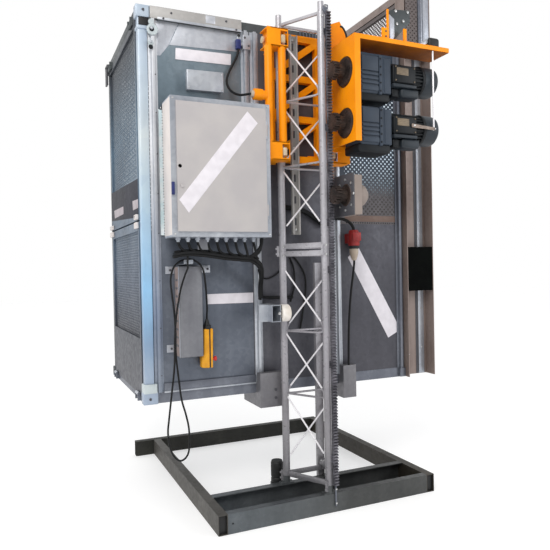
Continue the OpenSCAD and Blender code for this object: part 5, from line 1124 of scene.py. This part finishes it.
joint_bolts = [(leg.x - 6, leg.y - 27, z) for leg in (LEG_F, LEG_L) for z in (1650, 1708, 3158)]
top_clamp = [
    turned("mast_clamp", [(0, 16), (4, 20), (18, 20), (22, 15)], (20, -28, 3206), "y", RAIL_ZINC, "base", sides=10),
    block("mast_clamp_ear", (14, -30, 3176), (40, -12, 3232), RAIL_ZINC, "base", edge=5),
    bolts("mast_clamp_bolts", [(20, -32, 3216), (34, -32, 3192), (26, -32, 3128)], "y", 15, 8, BRIGHT_STEEL, "base")]
hardware = top_clamp + [
    bolts("mast_bolts", joint_bolts, "y", 17, 9, BRIGHT_STEEL, "base"),
    # Black blocks inside the open tube ends paint the shade in their mouths
    block("tube_mouth_shade_left", (-751, -12, 4), (-699, -6, 116), BLACK_RUBBER, "base", edge=1),
    block("tube_mouth_shade_right", (759, -12, 4), (811, -6, 116), BLACK_RUBBER, "base", edge=1),
    block("foot_plate", (27, -36, 40), (37, -25, 168), RAIL_ZINC, "base", edge=2),
    turned("foot_clamp", [(0, 28), (4, 32), (34, 32), (38, 28)], (118, 252, 214), "y", STRIKE_ZINC, "base", sides=32),
    block("foot_clamp_arm", (96, 254, 176), (150, 286, 200), STRIKE_ZINC, "base", edge=4),
    bolts("foot_bolts", [(84, 256, 240), (32, -38, 150), (32, -38, 60)], "y", 14, 8, BRIGHT_STEEL, "base"),
]
join(hardware, "mast_hardware")
roller_cap = [
    bolts("roller_bolt", [(-250, 170, 1272)], "y", 22, 14, BRIGHT_STEEL),
    block("roller_guard_top", (-236, 178, 1296), (-226, 236, 1326), BLACK_RUBBER, edge=2),
    block("roller_guard_low", (-236, 178, 1218), (-226, 236, 1248), BLACK_RUBBER, edge=2)]
join(roller_cap, "roller_guard")


# Stage: pale floor, soft light from the upper left and a bright surround

pick()
bpy.ops.mesh.primitive_plane_add(size=60, location=(0, 0, -0.001))
floor = bpy.context.object
floor.name = "floor"
floor_finish, _, floor_shader, _ = new_finish("pale_floor")
floor_shader.inputs["Base Color"].default_value = (0.6, 0.6, 0.6, 1)
floor_shader.inputs["Roughness"].default_value = 1.0
floor_shader.inputs["Specular IOR Level"].default_value = 0.0
floor_shader.inputs["Emission Color"].default_value = (1, 1, 1, 1)
floor_shader.inputs["Emission Strength"].default_value = 0.5
floor.data.materials.append(floor_finish)

bpy.context.scene.view_settings.view_transform = "Standard"
world = bpy.data.worlds.new("surround")
bpy.context.scene.world = world
world.use_nodes = True
sky = world.node_tree
sky_place = add(sky, "ShaderNodeTexCoord")
sky_parts = add(sky, "ShaderNodeSeparateXYZ", links=[("Vector", sky_place, "Generated")])
# White behind the object, dimmer on the side that the viewer stands on
sky_ramp = add(sky, "ShaderNodeMapRange", {"From Min": -0.75, "From Max": 0.05, "To Min": 0.42, "To Max": 1.0},
               [("Value", sky_parts, "Y")])
sky_ramp.clamp = True
sky.links.new(sky_ramp.outputs["Result"], sky.nodes["Background"].inputs["Strength"])
sky.nodes["Background"].inputs["Color"].default_value = (1.0, 1.0, 1.0, 1)


def lamp(name, place, aim, size, power, colour):
    """A square soft light at one place, aimed at another"""
    light = bpy.data.lights.new(name, "AREA")
    light.size = size
    light.energy = power
    light.color = colour
    piece = bpy.data.objects.new(name, light)
    piece.location = place
    piece.rotation_euler = (Vector(aim) - Vector(place)).to_track_quat("-Z", "Y").to_euler()
    bpy.context.scene.collection.objects.link(piece)


lamp("key", (-3.5, -4.5, 6.0), (0, 0.4, 1.8), 3.0, 260, (1.0, 0.98, 0.95))
lamp("fill", (4.5, -4.0, 3.5), (0, 0.4, 1.8), 3.0, 90, (0.95, 0.97, 1.0))
